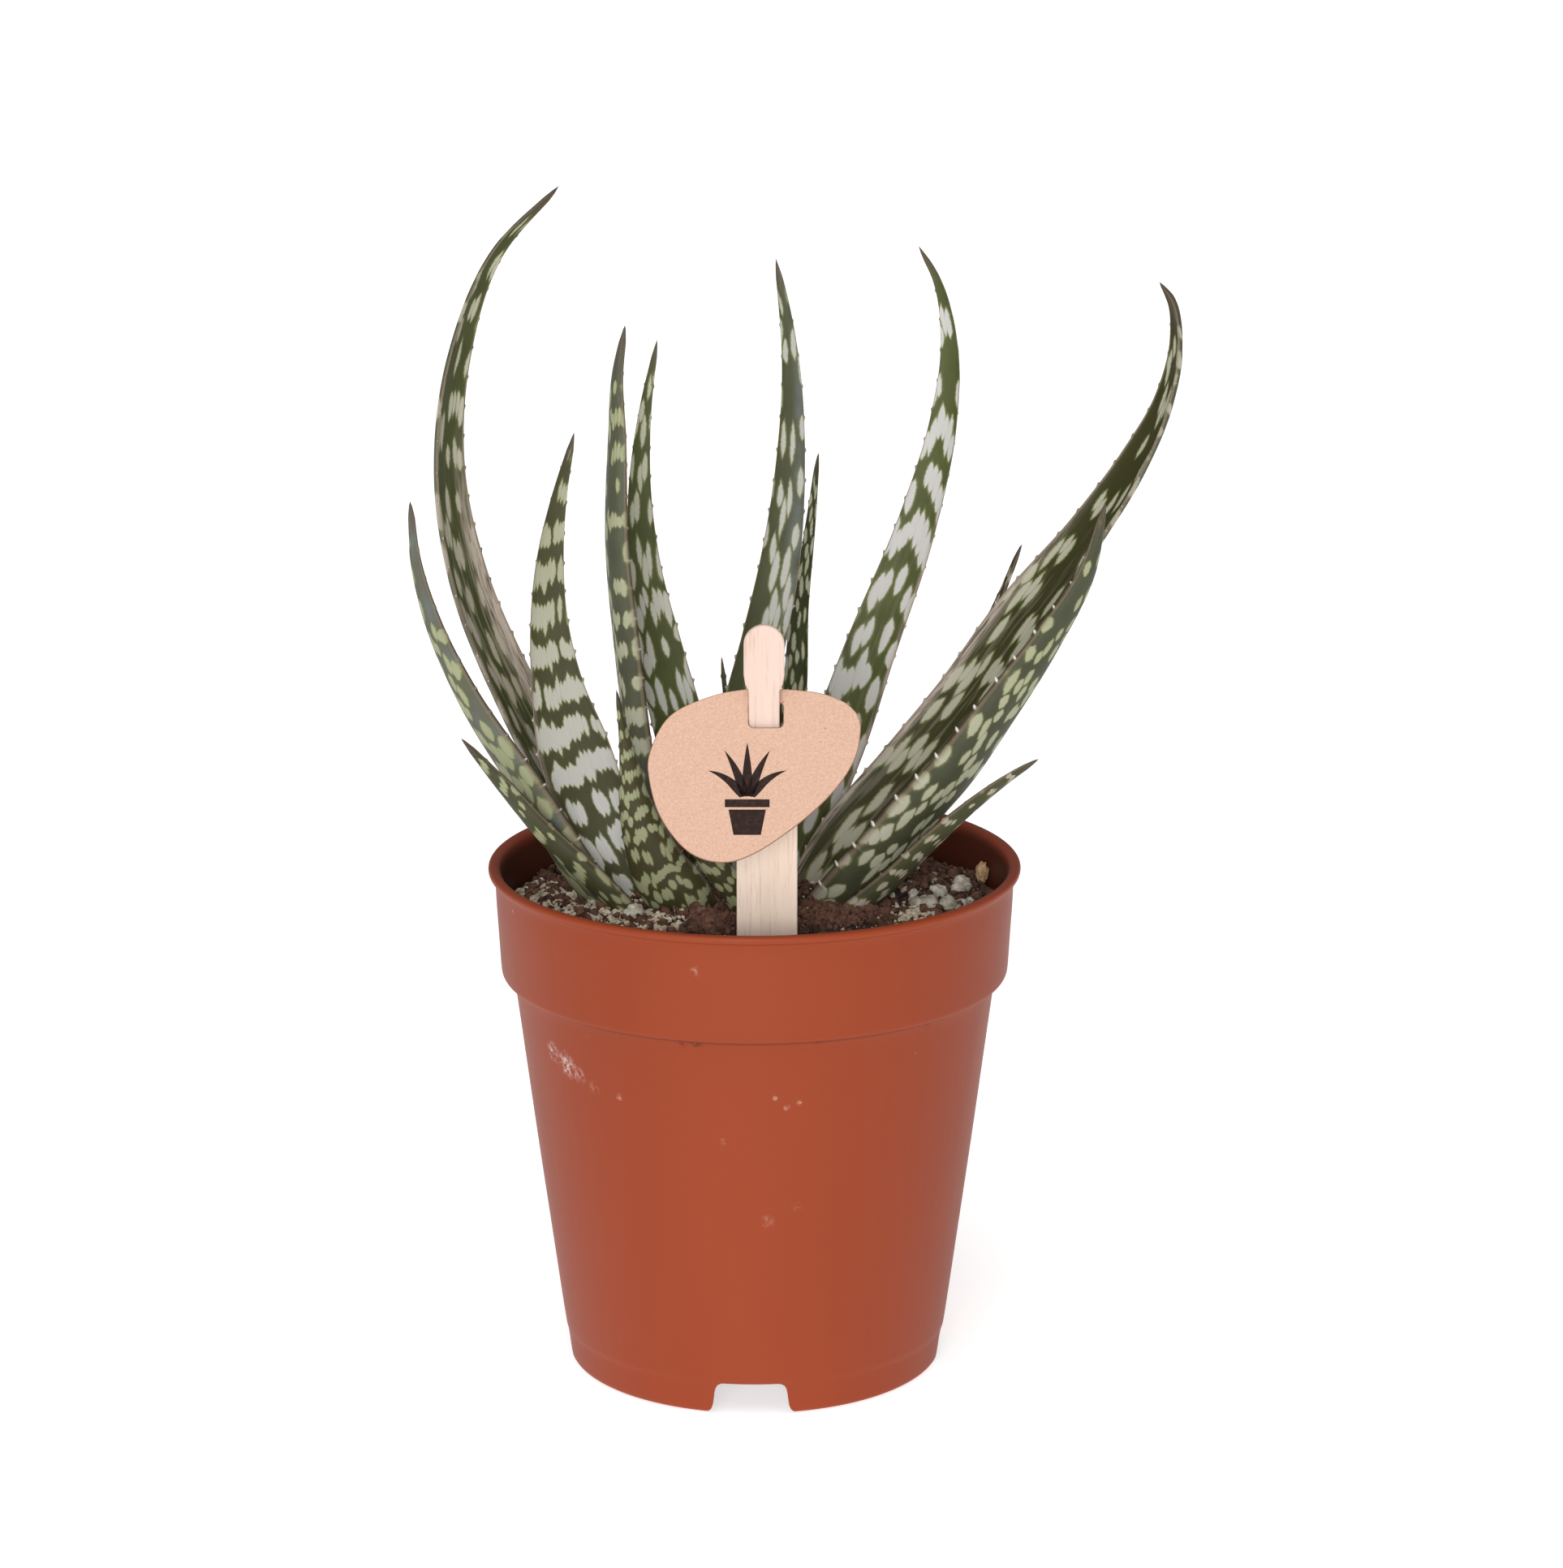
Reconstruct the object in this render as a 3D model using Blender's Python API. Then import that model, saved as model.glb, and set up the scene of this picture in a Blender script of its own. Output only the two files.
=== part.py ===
"""Potted aloe: a spotted, toothed aloe in a nine-centimetre nursery pot, with a wooden label stick and a card.

Lengths are in millimetres, from the pot's axis and the surface that it stands on, until MM turns them to metres.
The camera side of the photograph is -Y. Each piece is one closed solid.
"""
import math

import bmesh
import bpy
import numpy as np

MM = 0.001

# Clearance left between pieces that touch
GAP = 0.3

# Clearance round a leaf in its hole in the soil and the stem
HOLE_GAP = 0.45

# Pot: a thin moulded wall, with a rolled lip, a collar over a step, and a raised floor inside a foot ring
POT_SEGMENTS = 60
POT_OUTSIDE = (
    (31.2, 0.0),  # foot, outer edge of the flat ring
    (31.8, 0.4),
    (32.0, 1.2),
    (32.6, 6.0),
    (35.1, 24.0),
    (37.1, 38.8),
    (39.7, 59.3),
    (40.9, 68.5),  # top of the body, under the step
    (42.3, 68.6),
    (42.8, 68.9),
    (43.0, 69.6),  # foot of the collar
    (43.3, 75.3),
    (43.7, 81.5),
    (43.8, 85.4),  # under the lip
    (44.3, 86.0),
    (44.8, 86.2),
    (45.0, 86.7),  # widest, 90 mm across
    (44.9, 87.2),
    (44.4, 87.5),
)
POT_INSIDE = (
    (43.5, 87.4),
    (42.9, 86.8),
    (42.6, 85.0),
    (42.4, 81.5),
    (41.9, 72.0),
    (41.3, 70.4),
    (39.7, 69.0),
    (38.5, 59.3),
    (35.9, 38.8),
    (33.9, 24.0),
    (32.0, 10.3),
    (31.2, 8.6),
    (30.0, 7.7),  # edge of the floor's upper face
)
POT_UNDERSIDE = (
    (29.0, 6.2),  # edge of the floor's lower face
    (30.0, 6.0),
    (30.6, 5.2),
    (30.3, 1.2),
    (29.9, 0.3),
    (29.6, 0.0),  # foot, inner edge of the flat ring
)
FLOOR_TOP = 7.7
FLOOR_BOTTOM = 6.2
DRAIN_HOLES = 4
DRAIN_RADIUS = 3.5
DRAIN_CIRCLE = 18.0
NOTCHES = 4
NOTCH_TURN = math.radians(-91.0)
NOTCH_DEPTH = 10.0
# Half of a notch, across and up: square at the top with a small round, and flared where the foot's corners are round
NOTCH_HALF = ((4.9, 5.7), (5.6, 5.4), (6.0, 4.6), (6.2, 3.0), (6.5, 1.2), (7.1, 0.3), (8.0, 0.0), (8.0, -2.0))

# Soil: fills the pot, a few millimetres below the rim, with a low crown
SOIL_SEGMENTS = 32
SOIL_EDGE = 79.6
SOIL_CROWN = 83.2
SOIL_RADII = (7.0, 14.0, 21.0, 28.0, 35.0)
SOIL_RIM_RADIUS = 41.9
SOIL_BUMP = 0.35

# Stem: the short buried stem that the leaves clasp
STEM_CENTRE = (-3.5, -0.5)
STEM_SEGMENTS = 20
STEM_PROFILE = ((8.0, 61.3), (11.0, 63.3), (12.0, 67.3), (11.4, 70.8), (9.4, 73.8), (6.8, 76.3), (3.8, 78.1))
STEM_BOTTOM = 61.3
STEM_WAIST = 67.3  # height of its widest point
STEM_TOP = 78.7

# Leaves: each has points along its middle line (x, y, height, width there), from the stem to the tip,
# the compass direction that its channelled inner face looks in at base and tip, its thickness,
# and the depth of the channel as a share of the width
LEAVES = {
    "leaf_01": (
        ((-12.9, -2.5, 71.3, 3.5), (-27.4, -5.5, 84.6, 9.3), (-36.7, -7.0, 100.1, 8.3),
         (-48.2, -9.0, 119.5, 5.8), (-53.0, -10.5, 131.2, 4.0), (-55.6, -12.0, 142.3, 2.1),
         (-56.1, -14.0, 152.5, 0.6)),
        30, 35, 3.3, 0.16),
    "leaf_02": (
        ((-12.9, 5.0, 72.0, 3.5), (-25.4, 7.0, 86.1, 10.4), (-33.1, 8.0, 99.7, 10.1),
         (-40.0, 8.0, 113.3, 9.3), (-48.3, 7.0, 135.0, 8.2), (-51.0, 6.0, 152.1, 6.7),
         (-49.1, 6.5, 172.7, 4.8), (-42.4, 7.0, 190.1, 2.4), (-32.1, 7.5, 201.0, 0.6)),
        -36, -40, 2.8, 0.26),
    "leaf_03": (
        ((-10.4, -3.0, 75.3, 3.5), (-24.4, -4.0, 91.6, 8.6), (-27.4, -3.5, 99.1, 11.6),
         (-30.4, -3.5, 108.2, 12.0), (-32.9, -3.0, 118.3, 8.9), (-34.3, -2.0, 130.3, 6.2),
         (-34.0, -1.5, 139.9, 4.6), (-32.5, -1.0, 149.9, 2.7), (-29.7, -1.0, 161.4, 0.6)),
        -82, -75, 3.0, 0.16),
    "leaf_04": (
        ((-12.4, -7.0, 70.4, 3.5), (-26.1, -11.5, 86.6, 5.1), (-34.8, -12.0, 95.5, 4.4),
         (-41.3, -13.0, 103.6, 3.2), (-48.4, -14.0, 112.5, 0.6)),
        45, 50, 2.2, 0.16),
    "leaf_05": (
        ((-9.4, 4.0, 76.1, 3.5), (-16.9, 2.0, 88.8, 7.3), (-19.7, 3.0, 106.9, 6.2),
         (-21.6, 2.5, 124.1, 6.5), (-23.1, 2.0, 141.7, 5.8), (-22.9, 3.0, 159.8, 4.4),
         (-22.7, 3.5, 170.3, 2.5), (-21.3, 4.0, 178.4, 0.6)),
        28, 36, 2.8, 0.16),
    "leaf_06": (
        ((-6.9, 8.0, 75.9, 3.5), (-11.5, 9.0, 102.2, 9.0), (-15.9, 11.0, 120.2, 8.0),
         (-18.7, 12.0, 135.8, 5.6), (-19.4, 12.5, 149.4, 3.8), (-18.3, 14.5, 162.8, 2.0),
         (-16.3, 16.0, 173.8, 0.6)),
        -70, -80, 2.6, 0.16),
    "leaf_07": (
        ((-7.4, -8.5, 74.6, 3.5), (-12.9, -12.0, 84.8, 11.1), (-15.9, -12.5, 89.4, 9.8),
         (-17.9, -13.0, 94.5, 8.0), (-19.9, -13.5, 101.6, 5.3), (-20.6, -14.0, 107.1, 3.5),
         (-21.6, -15.0, 114.2, 1.6), (-22.6, -16.0, 121.3, 0.6)),
        80, 90, 3.0, 0.16),
    "leaf_08": (
        ((-3.9, -2.0, 77.3, 3.5), (-3.4, -1.5, 95.0, 9.5), (-1.9, 0.0, 110.1, 8.6), (1.6, 1.0, 125.7, 7.5),
         (4.2, 2.0, 138.2, 6.7), (6.0, 3.0, 154.3, 5.0), (6.0, 4.0, 173.3, 2.8), (4.7, 5.0, 183.3, 1.6),
         (3.6, 5.5, 189.3, 0.6)),
        -95, -90, 3.0, 0.16),
    "leaf_09": (
        ((0.6, 3.0, 77.1, 3.5), (2.1, 4.0, 96.3, 5.6), (6.4, 5.5, 111.9, 4.5), (7.9, 8.5, 130.9, 3.0),
         (9.3, 10.0, 141.4, 1.9), (10.8, 13.0, 155.1, 0.6)),
        -100, -110, 2.4, 0.16),
    "leaf_10": (
        ((-4.9, 2.0, 79.2, 1.7), (-4.9, 2.0, 94.4, 2.1), (-4.4, 2.5, 109.5, 1.2), (-5.5, 3.0, 122.3, 0.6)),
        -90, -90, 1.6, 0.16),
    "leaf_11": (
        ((2.1, 8.0, 74.9, 3.5), (7.6, 8.5, 89.0, 9.0), (13.6, 10.5, 103.6, 9.9), (19.9, 13.0, 121.2, 8.9),
         (27.8, 15.5, 142.7, 6.8), (32.0, 18.0, 159.2, 4.8), (33.0, 20.0, 171.6, 3.1),
         (30.6, 22.0, 183.4, 1.3), (27.6, 22.5, 188.6, 0.6)),
        -110, -110, 3.0, 0.16),
    "leaf_12": (
        ((5.1, 1.5, 75.2, 3.5), (14.1, 1.5, 90.3, 7.9), (25.0, 3.5, 102.6, 8.9), (34.5, 4.5, 114.1, 9.5),
         (44.4, 6.0, 127.7, 10.5), (56.1, 7.5, 143.0, 8.2), (63.5, 8.5, 154.2, 7.0),
         (68.4, 9.0, 164.6, 4.9), (70.3, 9.5, 175.1, 3.2), (69.3, 10.0, 181.6, 1.8),
         (67.3, 10.0, 184.6, 0.6)),
        -120, -163, 3.1, 0.26),
    "leaf_13": (
        ((5.1, -4.5, 73.4, 3.5), (19.1, -8.0, 88.2, 12.9), (26.1, -10.0, 97.4, 11.9),
         (33.6, -11.5, 106.5, 10.7), (39.9, -12.0, 115.7, 9.4), (48.2, -12.5, 128.2, 6.8),
         (54.6, -13.5, 140.0, 3.9), (57.5, -15.0, 152.5, 0.6)),
        140, 135, 3.2, 0.16),
    "leaf_14": (
        ((8.1, 7.0, 73.9, 3.3), (17.1, 10.0, 90.0, 4.7), (23.1, 12.0, 100.0, 3.8),
         (34.7, 16.0, 114.5, 2.4), (41.4, 19.0, 127.5, 1.4), (45.6, 22.0, 137.4, 0.6)),
        -150, -150, 2.2, 0.16),
    "leaf_15": (
        ((4.1, -10.5, 71.6, 3.0), (23.1, -10.5, 87.3, 5.0), (26.9, -12.0, 91.6, 4.9),
         (33.9, -15.0, 99.3, 4.0), (41.6, -19.0, 106.8, 2.5), (46.7, -22.0, 111.1, 0.6)),
        140, 140, 2.2, 0.16),
    "leaf_16": (
        ((-1.9, -9.5, 72.6, 3.5), (-1.9, -14.0, 84.9, 5.6), (-6.9, -15.5, 91.0, 3.8),
         (-13.9, -15.0, 102.1, 0.6)),
        100, 100, 2.2, 0.16),
}
LEAF_OUTER_STEPS = 4  # straight steps over the rounded outer face
LEAF_INNER_STEPS = 4  # and over the channelled inner face
LEAF_END_STATIONS = (0.95, 0.975, 0.988)  # shares of the length
LEAF_LEAST_STEP = 0.35
LEAF_LEAST = 0.7  # thinnest
TIP_WIDTH = 0.5
TOOTH_PITCH = 6.5
TOOTH_HEIGHT = 0.9
TOOTH_LEAN = 0.5  # how far a tooth points on towards the tip
TOOTH_BACK = 1.3  # length of a tooth's foot towards the base
TOOTH_FRONT = 0.9  # and towards the tip
TOOTH_FULL_WIDTH = 8.0  # leaf width from which teeth have their full height
BARE_LENGTH = 16.0  # the clasping base has no teeth
TOOTHED_SHARE = 0.93  # nor has the tip

# Label stick: a flat lolly-stick shape, behind the card's lower half and in front of its upper half
STICK_Y = -32.0
STICK_THICKNESS = 1.2
STICK_BODY_X = 2.2
STICK_BODY_HALF = 4.95
STICK_HEAD_X = 1.75
STICK_FOOT = 42.0
STICK_SHOULDER = 110.4
STICK_NECK_LOW = 114.4
STICK_NECK_HIGH = 125.1
STICK_NECK_HALF = 2.5
STICK_HEAD_HALF = 3.3
STICK_HEAD_LOW = 127.8
STICK_HEAD_TOP = 136.1

# Card: thick board that leans back on the stick's neck; its outline is read about the slot's middle
CARD_SLOT = (2.05, 121.0)
CARD_LEAN = math.radians(30.0)
CARD_THICKNESS = 0.7
CARD_OUTLINE = (
    (0.0, 4.5), (7.9, 3.9), (11.9, 2.6), (13.7, 1.4), (14.9, -0.2), (15.3, -2.6), (14.3, -7.4), (11.0, -12.6),
    (5.4, -18.0), (-1.8, -23.0), (-7.2, -24.5), (-12.6, -22.6), (-17.1, -16.7), (-19.0, -9.4), (-18.4, -5.2),
    (-16.6, -1.4), (-14.2, 0.9), (-10.3, 2.7), (-5.8, 4.0),
)
CARD_STEPS = 2  # straight steps between two of these points
SLOT_HALF_WIDTH = 3.05
SLOT_HALF_HEIGHT = 2.1
SLOT_ROUND = 0.8

# Colours, linear red, green and blue, with roughness
TERRACOTTA_PLASTIC = ((0.376, 0.073, 0.030), 0.45)
PEAT = ((0.030, 0.018, 0.012), 0.95)
STEM_FLESH = ((0.190, 0.200, 0.080), 0.60)
LEAF_GREEN = ((0.060, 0.085, 0.045), 0.45)
BIRCH = ((0.800, 0.620, 0.470), 0.60)
KRAFT_BOARD = ((0.730, 0.420, 0.280), 0.85)


# Materials and meshes

def material(name, finish):
    """A plain Principled material."""
    colour, roughness = finish
    made = bpy.data.materials.new(name)
    made.use_nodes = True
    shader = made.node_tree.nodes["Principled BSDF"]
    shader.inputs["Base Color"].default_value = (*colour, 1.0)
    shader.inputs["Roughness"].default_value = roughness
    return made


def mesh_object(name, bm, finish=None, smooth=False):
    """Turn a bmesh given in millimetres into a named object in metres."""
    bmesh.ops.recalc_face_normals(bm, faces=bm.faces)
    for vertex in bm.verts:
        vertex.co *= MM
    for face in bm.faces:
        face.smooth = smooth
    mesh = bpy.data.meshes.new(name)
    bm.to_mesh(mesh)
    bm.free()
    made = bpy.data.objects.new(name, mesh)
    bpy.context.scene.collection.objects.link(made)
    if finish:
        mesh.materials.append(finish)
    return made


def skin(rings):
    """A closed bmesh over a row of rings; a ring of one point closes an end."""
    bm = bmesh.new()
    rows = [[bm.verts.new(point) for point in ring] for ring in rings]
    for low, high in zip(rows, rows[1:]):
        count = max(len(low), len(high))
        for i in range(count):
            j = (i + 1) % count
            if len(low) == 1:
                bm.faces.new((low[0], high[i], high[j]))
            elif len(high) == 1:
                bm.faces.new((low[i], high[0], low[j]))
            else:
                bm.faces.new((low[i], high[i], high[j], low[j]))
    return bm


def circle(radius, height, count, centre=(0.0, 0.0)):
    """Points round a level circle, or one point on the axis where the radius is nought."""
    if radius == 0.0:
        return [(centre[0], centre[1], height)]
    angles = [2.0 * math.pi * i / count for i in range(count)]
    return [(centre[0] + radius * math.cos(a), centre[1] + radius * math.sin(a), height) for a in angles]


def slab(outline, place, low, high):
    """A closed bmesh: a flat outline given as (across, up), set between two depths by the place function."""
    bm = bmesh.new()
    front = [bm.verts.new(place(u, v, low)) for u, v in outline]
    back = [bm.verts.new(place(u, v, high)) for u, v in outline]
    bm.faces.new(front)
    bm.faces.new(back[::-1])
    count = len(outline)
    for i in range(count):
        j = (i + 1) % count
        bm.faces.new((front[i], back[i], back[j], front[j]))
    return bm


def cut(target, cutter, solver="EXACT"):
    """Take the cutter out of the target, and remove the cutter."""
    boolean = target.modifiers.new("cut", "BOOLEAN")
    boolean.operation = "DIFFERENCE"
    boolean.solver = solver
    boolean.object = cutter
    evaluated = target.evaluated_get(bpy.context.evaluated_depsgraph_get())
    result = bpy.data.meshes.new_from_object(evaluated)
    target.modifiers.remove(boolean)
    old = target.data
    target.data = result
    bpy.data.meshes.remove(old)
    spent = cutter.data
    bpy.data.objects.remove(cutter)
    bpy.data.meshes.remove(spent)


def keep_largest(target):
    """Drop the scraps that cutting may leave, and keep the body with the most faces."""
    bm = bmesh.new()
    bm.from_mesh(target.data)
    left = set(bm.faces)
    bodies = []
    while left:
        body = {left.pop()}
        edge_of_body = list(body)
        while edge_of_body:
            face = edge_of_body.pop()
            for edge in face.edges:
                for other in edge.link_faces:
                    if other in left:
                        left.remove(other)
                        body.add(other)
                        edge_of_body.append(other)
        bodies.append(body)
    largest = max(bodies, key=len)
    scraps = [face for face in bm.faces if face not in largest]
    bmesh.ops.delete(bm, geom=scraps, context="FACES")
    bm.to_mesh(target.data)
    bm.free()
    target.data.name = target.name


# Pot, soil and stem

def notch_cutter(turn):
    """A straight bar of the notch's outline, laid through the foot ring."""
    right = list(NOTCH_HALF)
    outline = right + [(-u, v) for u, v in reversed(right)]
    middle = POT_OUTSIDE[0][0]

    def place(u, v, depth):
        out = middle + depth
        return (out * math.cos(turn) - u * math.sin(turn), out * math.sin(turn) + u * math.cos(turn), v)

    return mesh_object("notch_cutter", slab(outline, place, -NOTCH_DEPTH / 2, NOTCH_DEPTH / 2))


def drain_cutter(turn):
    """A short cylinder through the floor."""
    centre = (DRAIN_CIRCLE * math.cos(turn), DRAIN_CIRCLE * math.sin(turn))
    heights = (FLOOR_BOTTOM - 2.0, FLOOR_TOP + 2.0)
    rings = [circle(0.0, heights[0], 16, centre)]
    rings += [circle(DRAIN_RADIUS, height, 16, centre) for height in heights]
    rings += [circle(0.0, heights[1], 16, centre)]
    return mesh_object("drain_cutter", skin(rings))


def pot(finish):
    """The turned shell, then its drainage notches and holes."""
    profile = [(0.0, FLOOR_BOTTOM)] + list(POT_UNDERSIDE) + list(POT_OUTSIDE) + list(POT_INSIDE) + [(0.0, FLOOR_TOP)]
    rings = [circle(radius, height, POT_SEGMENTS) for radius, height in profile]
    made = mesh_object("pot", skin(rings), finish, smooth=True)
    for i in range(NOTCHES):
        cut(made, notch_cutter(NOTCH_TURN + 2.0 * math.pi * i / NOTCHES))
    for i in range(DRAIN_HOLES):
        cut(made, drain_cutter(NOTCH_TURN + 2.0 * math.pi * (i + 0.5) / DRAIN_HOLES))
    return made


def soil_height(x, y):
    """Height of the soil's surface: a low crown with slow bumps."""
    share = min(math.hypot(x, y) / SOIL_RIM_RADIUS, 1.0)
    crown = SOIL_EDGE + (SOIL_CROWN - SOIL_EDGE) * (1.0 - share ** 2)
    bumps = math.sin(0.31 * x + 1.0) * math.cos(0.27 * y) + math.sin(0.23 * y - 0.41 * x)
    return crown + SOIL_BUMP * bumps


def soil(finish):
    """The filling, cut for the stem; leaves and stick cut their own holes later."""
    wall = [(radius - GAP, height) for radius, height in POT_INSIDE if height < SOIL_EDGE - 2.0]
    bottom = FLOOR_TOP + GAP
    wall = [(radius, max(height, bottom)) for radius, height in wall]
    rings = [[(0.0, 0.0, soil_height(0.0, 0.0))]]
    for radius in (*SOIL_RADII, SOIL_RIM_RADIUS):
        ring = circle(radius, 0.0, SOIL_SEGMENTS)
        rings.append([(x, y, soil_height(x, y)) for x, y, _ in ring])
    rings += [circle(radius, height, SOIL_SEGMENTS) for radius, height in wall]
    rings.append(circle(0.0, bottom, SOIL_SEGMENTS))
    made = mesh_object("soil", skin(rings), finish, smooth=False)
    cut(made, stem_solid("stem_cutter", None, GAP))
    return made


def stem_solid(name, finish, grow=0.0):
    """A low dome, or the same one grown all round to cut its place."""
    rings = [circle(0.0, STEM_BOTTOM - grow, STEM_SEGMENTS, STEM_CENTRE)]
    for radius, height in STEM_PROFILE:
        lift = math.copysign(grow, height - STEM_WAIST)
        rings.append(circle(radius + grow, height + lift, STEM_SEGMENTS, STEM_CENTRE))
    rings.append(circle(0.0, STEM_TOP + grow, STEM_SEGMENTS, STEM_CENTRE))
    return mesh_object(name, skin(rings), finish, smooth=True)


# Leaves

def along(points, shares):
    """Values at shares of the length on a smooth curve through the points, with its direction there."""
    points = np.array(points, float)
    chords = np.linalg.norm(np.diff(points[:, :3], axis=0), axis=1)
    knots = np.concatenate([[0.0], np.cumsum(chords)]) / chords.sum()
    slopes = np.diff(points, axis=0) / np.diff(knots)[:, None]
    tangents = np.vstack([slopes[:1], slopes[:1], slopes[-1:]])
    if len(points) > 2:
        share = (np.diff(knots)[1:] / (knots[2:] - knots[:-2]))[:, None]
        middle = slopes[:-1] * share + slopes[1:] * (1.0 - share)
        tangents = np.vstack([slopes[:1], middle, slopes[-1:]])
    span = np.clip(np.searchsorted(knots, shares, side="right") - 1, 0, len(points) - 2)
    length = (knots[span + 1] - knots[span])[:, None]
    x = ((shares - knots[span]) / (knots[span + 1] - knots[span]))[:, None]
    start, end = points[span], points[span + 1]
    pull_start, pull_end = tangents[span] * length, tangents[span + 1] * length
    values = (2 * x**3 - 3 * x**2 + 1) * start + (x**3 - 2 * x**2 + x) * pull_start
    values += (3 * x**2 - 2 * x**3) * end + (x**3 - x**2) * pull_end
    heading = (6 * x**2 - 6 * x) * (start - end) + (3 * x**2 - 4 * x + 1) * pull_start + (3 * x**2 - 2 * x) * pull_end
    heading = heading[:, :3] / np.linalg.norm(heading[:, :3], axis=1)[:, None]
    return values, heading, chords.sum()


def stations_along(length):
    """Distances of the rings from the base, and which of them are the teeth's points."""
    teeth = np.arange(BARE_LENGTH, TOOTHED_SHARE * length, TOOTH_PITCH)
    wanted = [0.0, 5.0, 10.0]
    wanted += [share * length for share in LEAF_END_STATIONS]
    for place in teeth:
        wanted += [place - TOOTH_BACK, place, place + TOOTH_FRONT]
    kept = []
    for place in sorted(wanted):
        if not kept or place - kept[-1] > LEAF_LEAST_STEP:
            kept.append(place)
    kept = np.array(kept)
    is_tooth = np.array([np.abs(teeth - place).min() < 1e-6 if len(teeth) else False for place in kept])
    return kept, is_tooth


def leaf_rings(leaf, grow=0.0):
    """Rings of points round a leaf, from its base point to its tip point."""
    points, face_base, face_tip, thickness, channel = leaf
    length = along(points, np.array([0.5]))[2]
    stations, is_tooth = stations_along(length)
    shares = stations / length
    values, heading, _ = along(points, shares)
    middle = values[:, :3]
    width = np.maximum(values[:, 3], TIP_WIDTH)
    thick = np.minimum(thickness * (1.0 - 0.75 * shares**1.3), 0.35 * width + 0.9)
    thick = np.maximum(thick, LEAF_LEAST) + 2.0 * grow
    width = width + 2.0 * grow
    turn = np.radians(face_base + (face_tip - face_base) * shares)
    level = np.stack([np.cos(turn), np.sin(turn), np.zeros_like(turn)], axis=1)
    normal = level - (level * heading).sum(axis=1)[:, None] * heading
    normal /= np.linalg.norm(normal, axis=1)[:, None]
    across = np.cross(heading, normal)
    outer = np.linspace(0.0, math.pi, LEAF_OUTER_STEPS + 1)
    inner = np.linspace(math.pi, 0.0, LEAF_INNER_STEPS + 1)[1:-1]
    rings = [[middle[0] - normal[0] * 0.3 * thick[0] - heading[0] * grow]]
    for i in range(len(stations)):
        dip = 0.6 * channel * width[i]
        sides = np.concatenate([-np.cos(outer), -np.cos(inner)]) * width[i] / 2.0
        depths = np.concatenate([-np.sin(outer) * (thick[i] + dip), -np.sin(inner) * (dip - 2.0 * grow)])
        depths += thick[i] / 2.0
        ring = middle[i] + np.outer(sides, across[i]) + np.outer(depths, normal[i])
        if i == 0:
            ring = ring - heading[0] * grow
        if is_tooth[i]:
            scale = min(max(width[i] / TOOTH_FULL_WIDTH, 0.4), 1.0)
            for edge, side in ((0, -1.0), (LEAF_OUTER_STEPS, 1.0)):
                ring[edge] += (side * TOOTH_HEIGHT * across[i] + TOOTH_LEAN * heading[i]) * scale
        rings.append(ring)
    rings.append([np.array(points[-1][:3]) + heading[-1] * grow])
    return rings


def leaf_solid(name, leaf, finish=None, grow=0.0):
    """One leaf, or the same leaf grown all round to cut its place."""
    return mesh_object(name, skin(leaf_rings(leaf, grow)), finish, smooth=True)


# Label

def stick_outline():
    """The stick's outline in x and height: foot, shoulders, neck and round head."""
    head_round = STICK_HEAD_TOP - STICK_HEAD_HALF
    outline = [(STICK_BODY_X - STICK_BODY_HALF + 1.5, STICK_FOOT), (STICK_BODY_X + STICK_BODY_HALF - 1.5, STICK_FOOT)]
    outline += [(STICK_BODY_X + STICK_BODY_HALF, STICK_FOOT + 1.5), (STICK_BODY_X + STICK_BODY_HALF, STICK_SHOULDER)]
    outline += [(STICK_HEAD_X + STICK_NECK_HALF + 0.7, STICK_NECK_LOW - 1.0)]
    outline += [(STICK_HEAD_X + STICK_NECK_HALF, STICK_NECK_LOW), (STICK_HEAD_X + STICK_NECK_HALF, STICK_NECK_HIGH)]
    outline += [(STICK_HEAD_X + STICK_HEAD_HALF - 0.25, STICK_HEAD_LOW - 1.5)]
    outline += [(STICK_HEAD_X + STICK_HEAD_HALF, STICK_HEAD_LOW)]
    for i in range(13):
        turn = math.pi * i / 12
        outline.append((STICK_HEAD_X + STICK_HEAD_HALF * math.cos(turn), head_round + STICK_HEAD_HALF * math.sin(turn)))
    outline += [(STICK_HEAD_X - STICK_HEAD_HALF, STICK_HEAD_LOW)]
    outline += [(STICK_HEAD_X - STICK_HEAD_HALF + 0.25, STICK_HEAD_LOW - 1.5)]
    outline += [(STICK_HEAD_X - STICK_NECK_HALF, STICK_NECK_HIGH), (STICK_HEAD_X - STICK_NECK_HALF, STICK_NECK_LOW)]
    outline += [(STICK_HEAD_X - STICK_NECK_HALF - 0.7, STICK_NECK_LOW - 1.0)]
    outline += [(STICK_BODY_X - STICK_BODY_HALF, STICK_SHOULDER), (STICK_BODY_X - STICK_BODY_HALF, STICK_FOOT + 1.5)]
    return outline


def stick_place(u, v, depth):
    """The stick stands upright."""
    return (u, STICK_Y + depth, v)


def label_stick(finish):
    """The flat wooden stick."""
    half = STICK_THICKNESS / 2
    return mesh_object("label_stick", slab(stick_outline(), stick_place, -half, half), finish)


def stick_cutter():
    """A plain slot in the soil for the stick's body."""
    half = STICK_THICKNESS / 2 + GAP
    left = STICK_BODY_X - STICK_BODY_HALF - GAP
    right = STICK_BODY_X + STICK_BODY_HALF + GAP
    outline = [(left, STICK_FOOT - GAP), (right, STICK_FOOT - GAP), (right, STICK_SHOULDER), (left, STICK_SHOULDER)]
    return mesh_object("stick_cutter", slab(outline, stick_place, -half, half))


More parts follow.
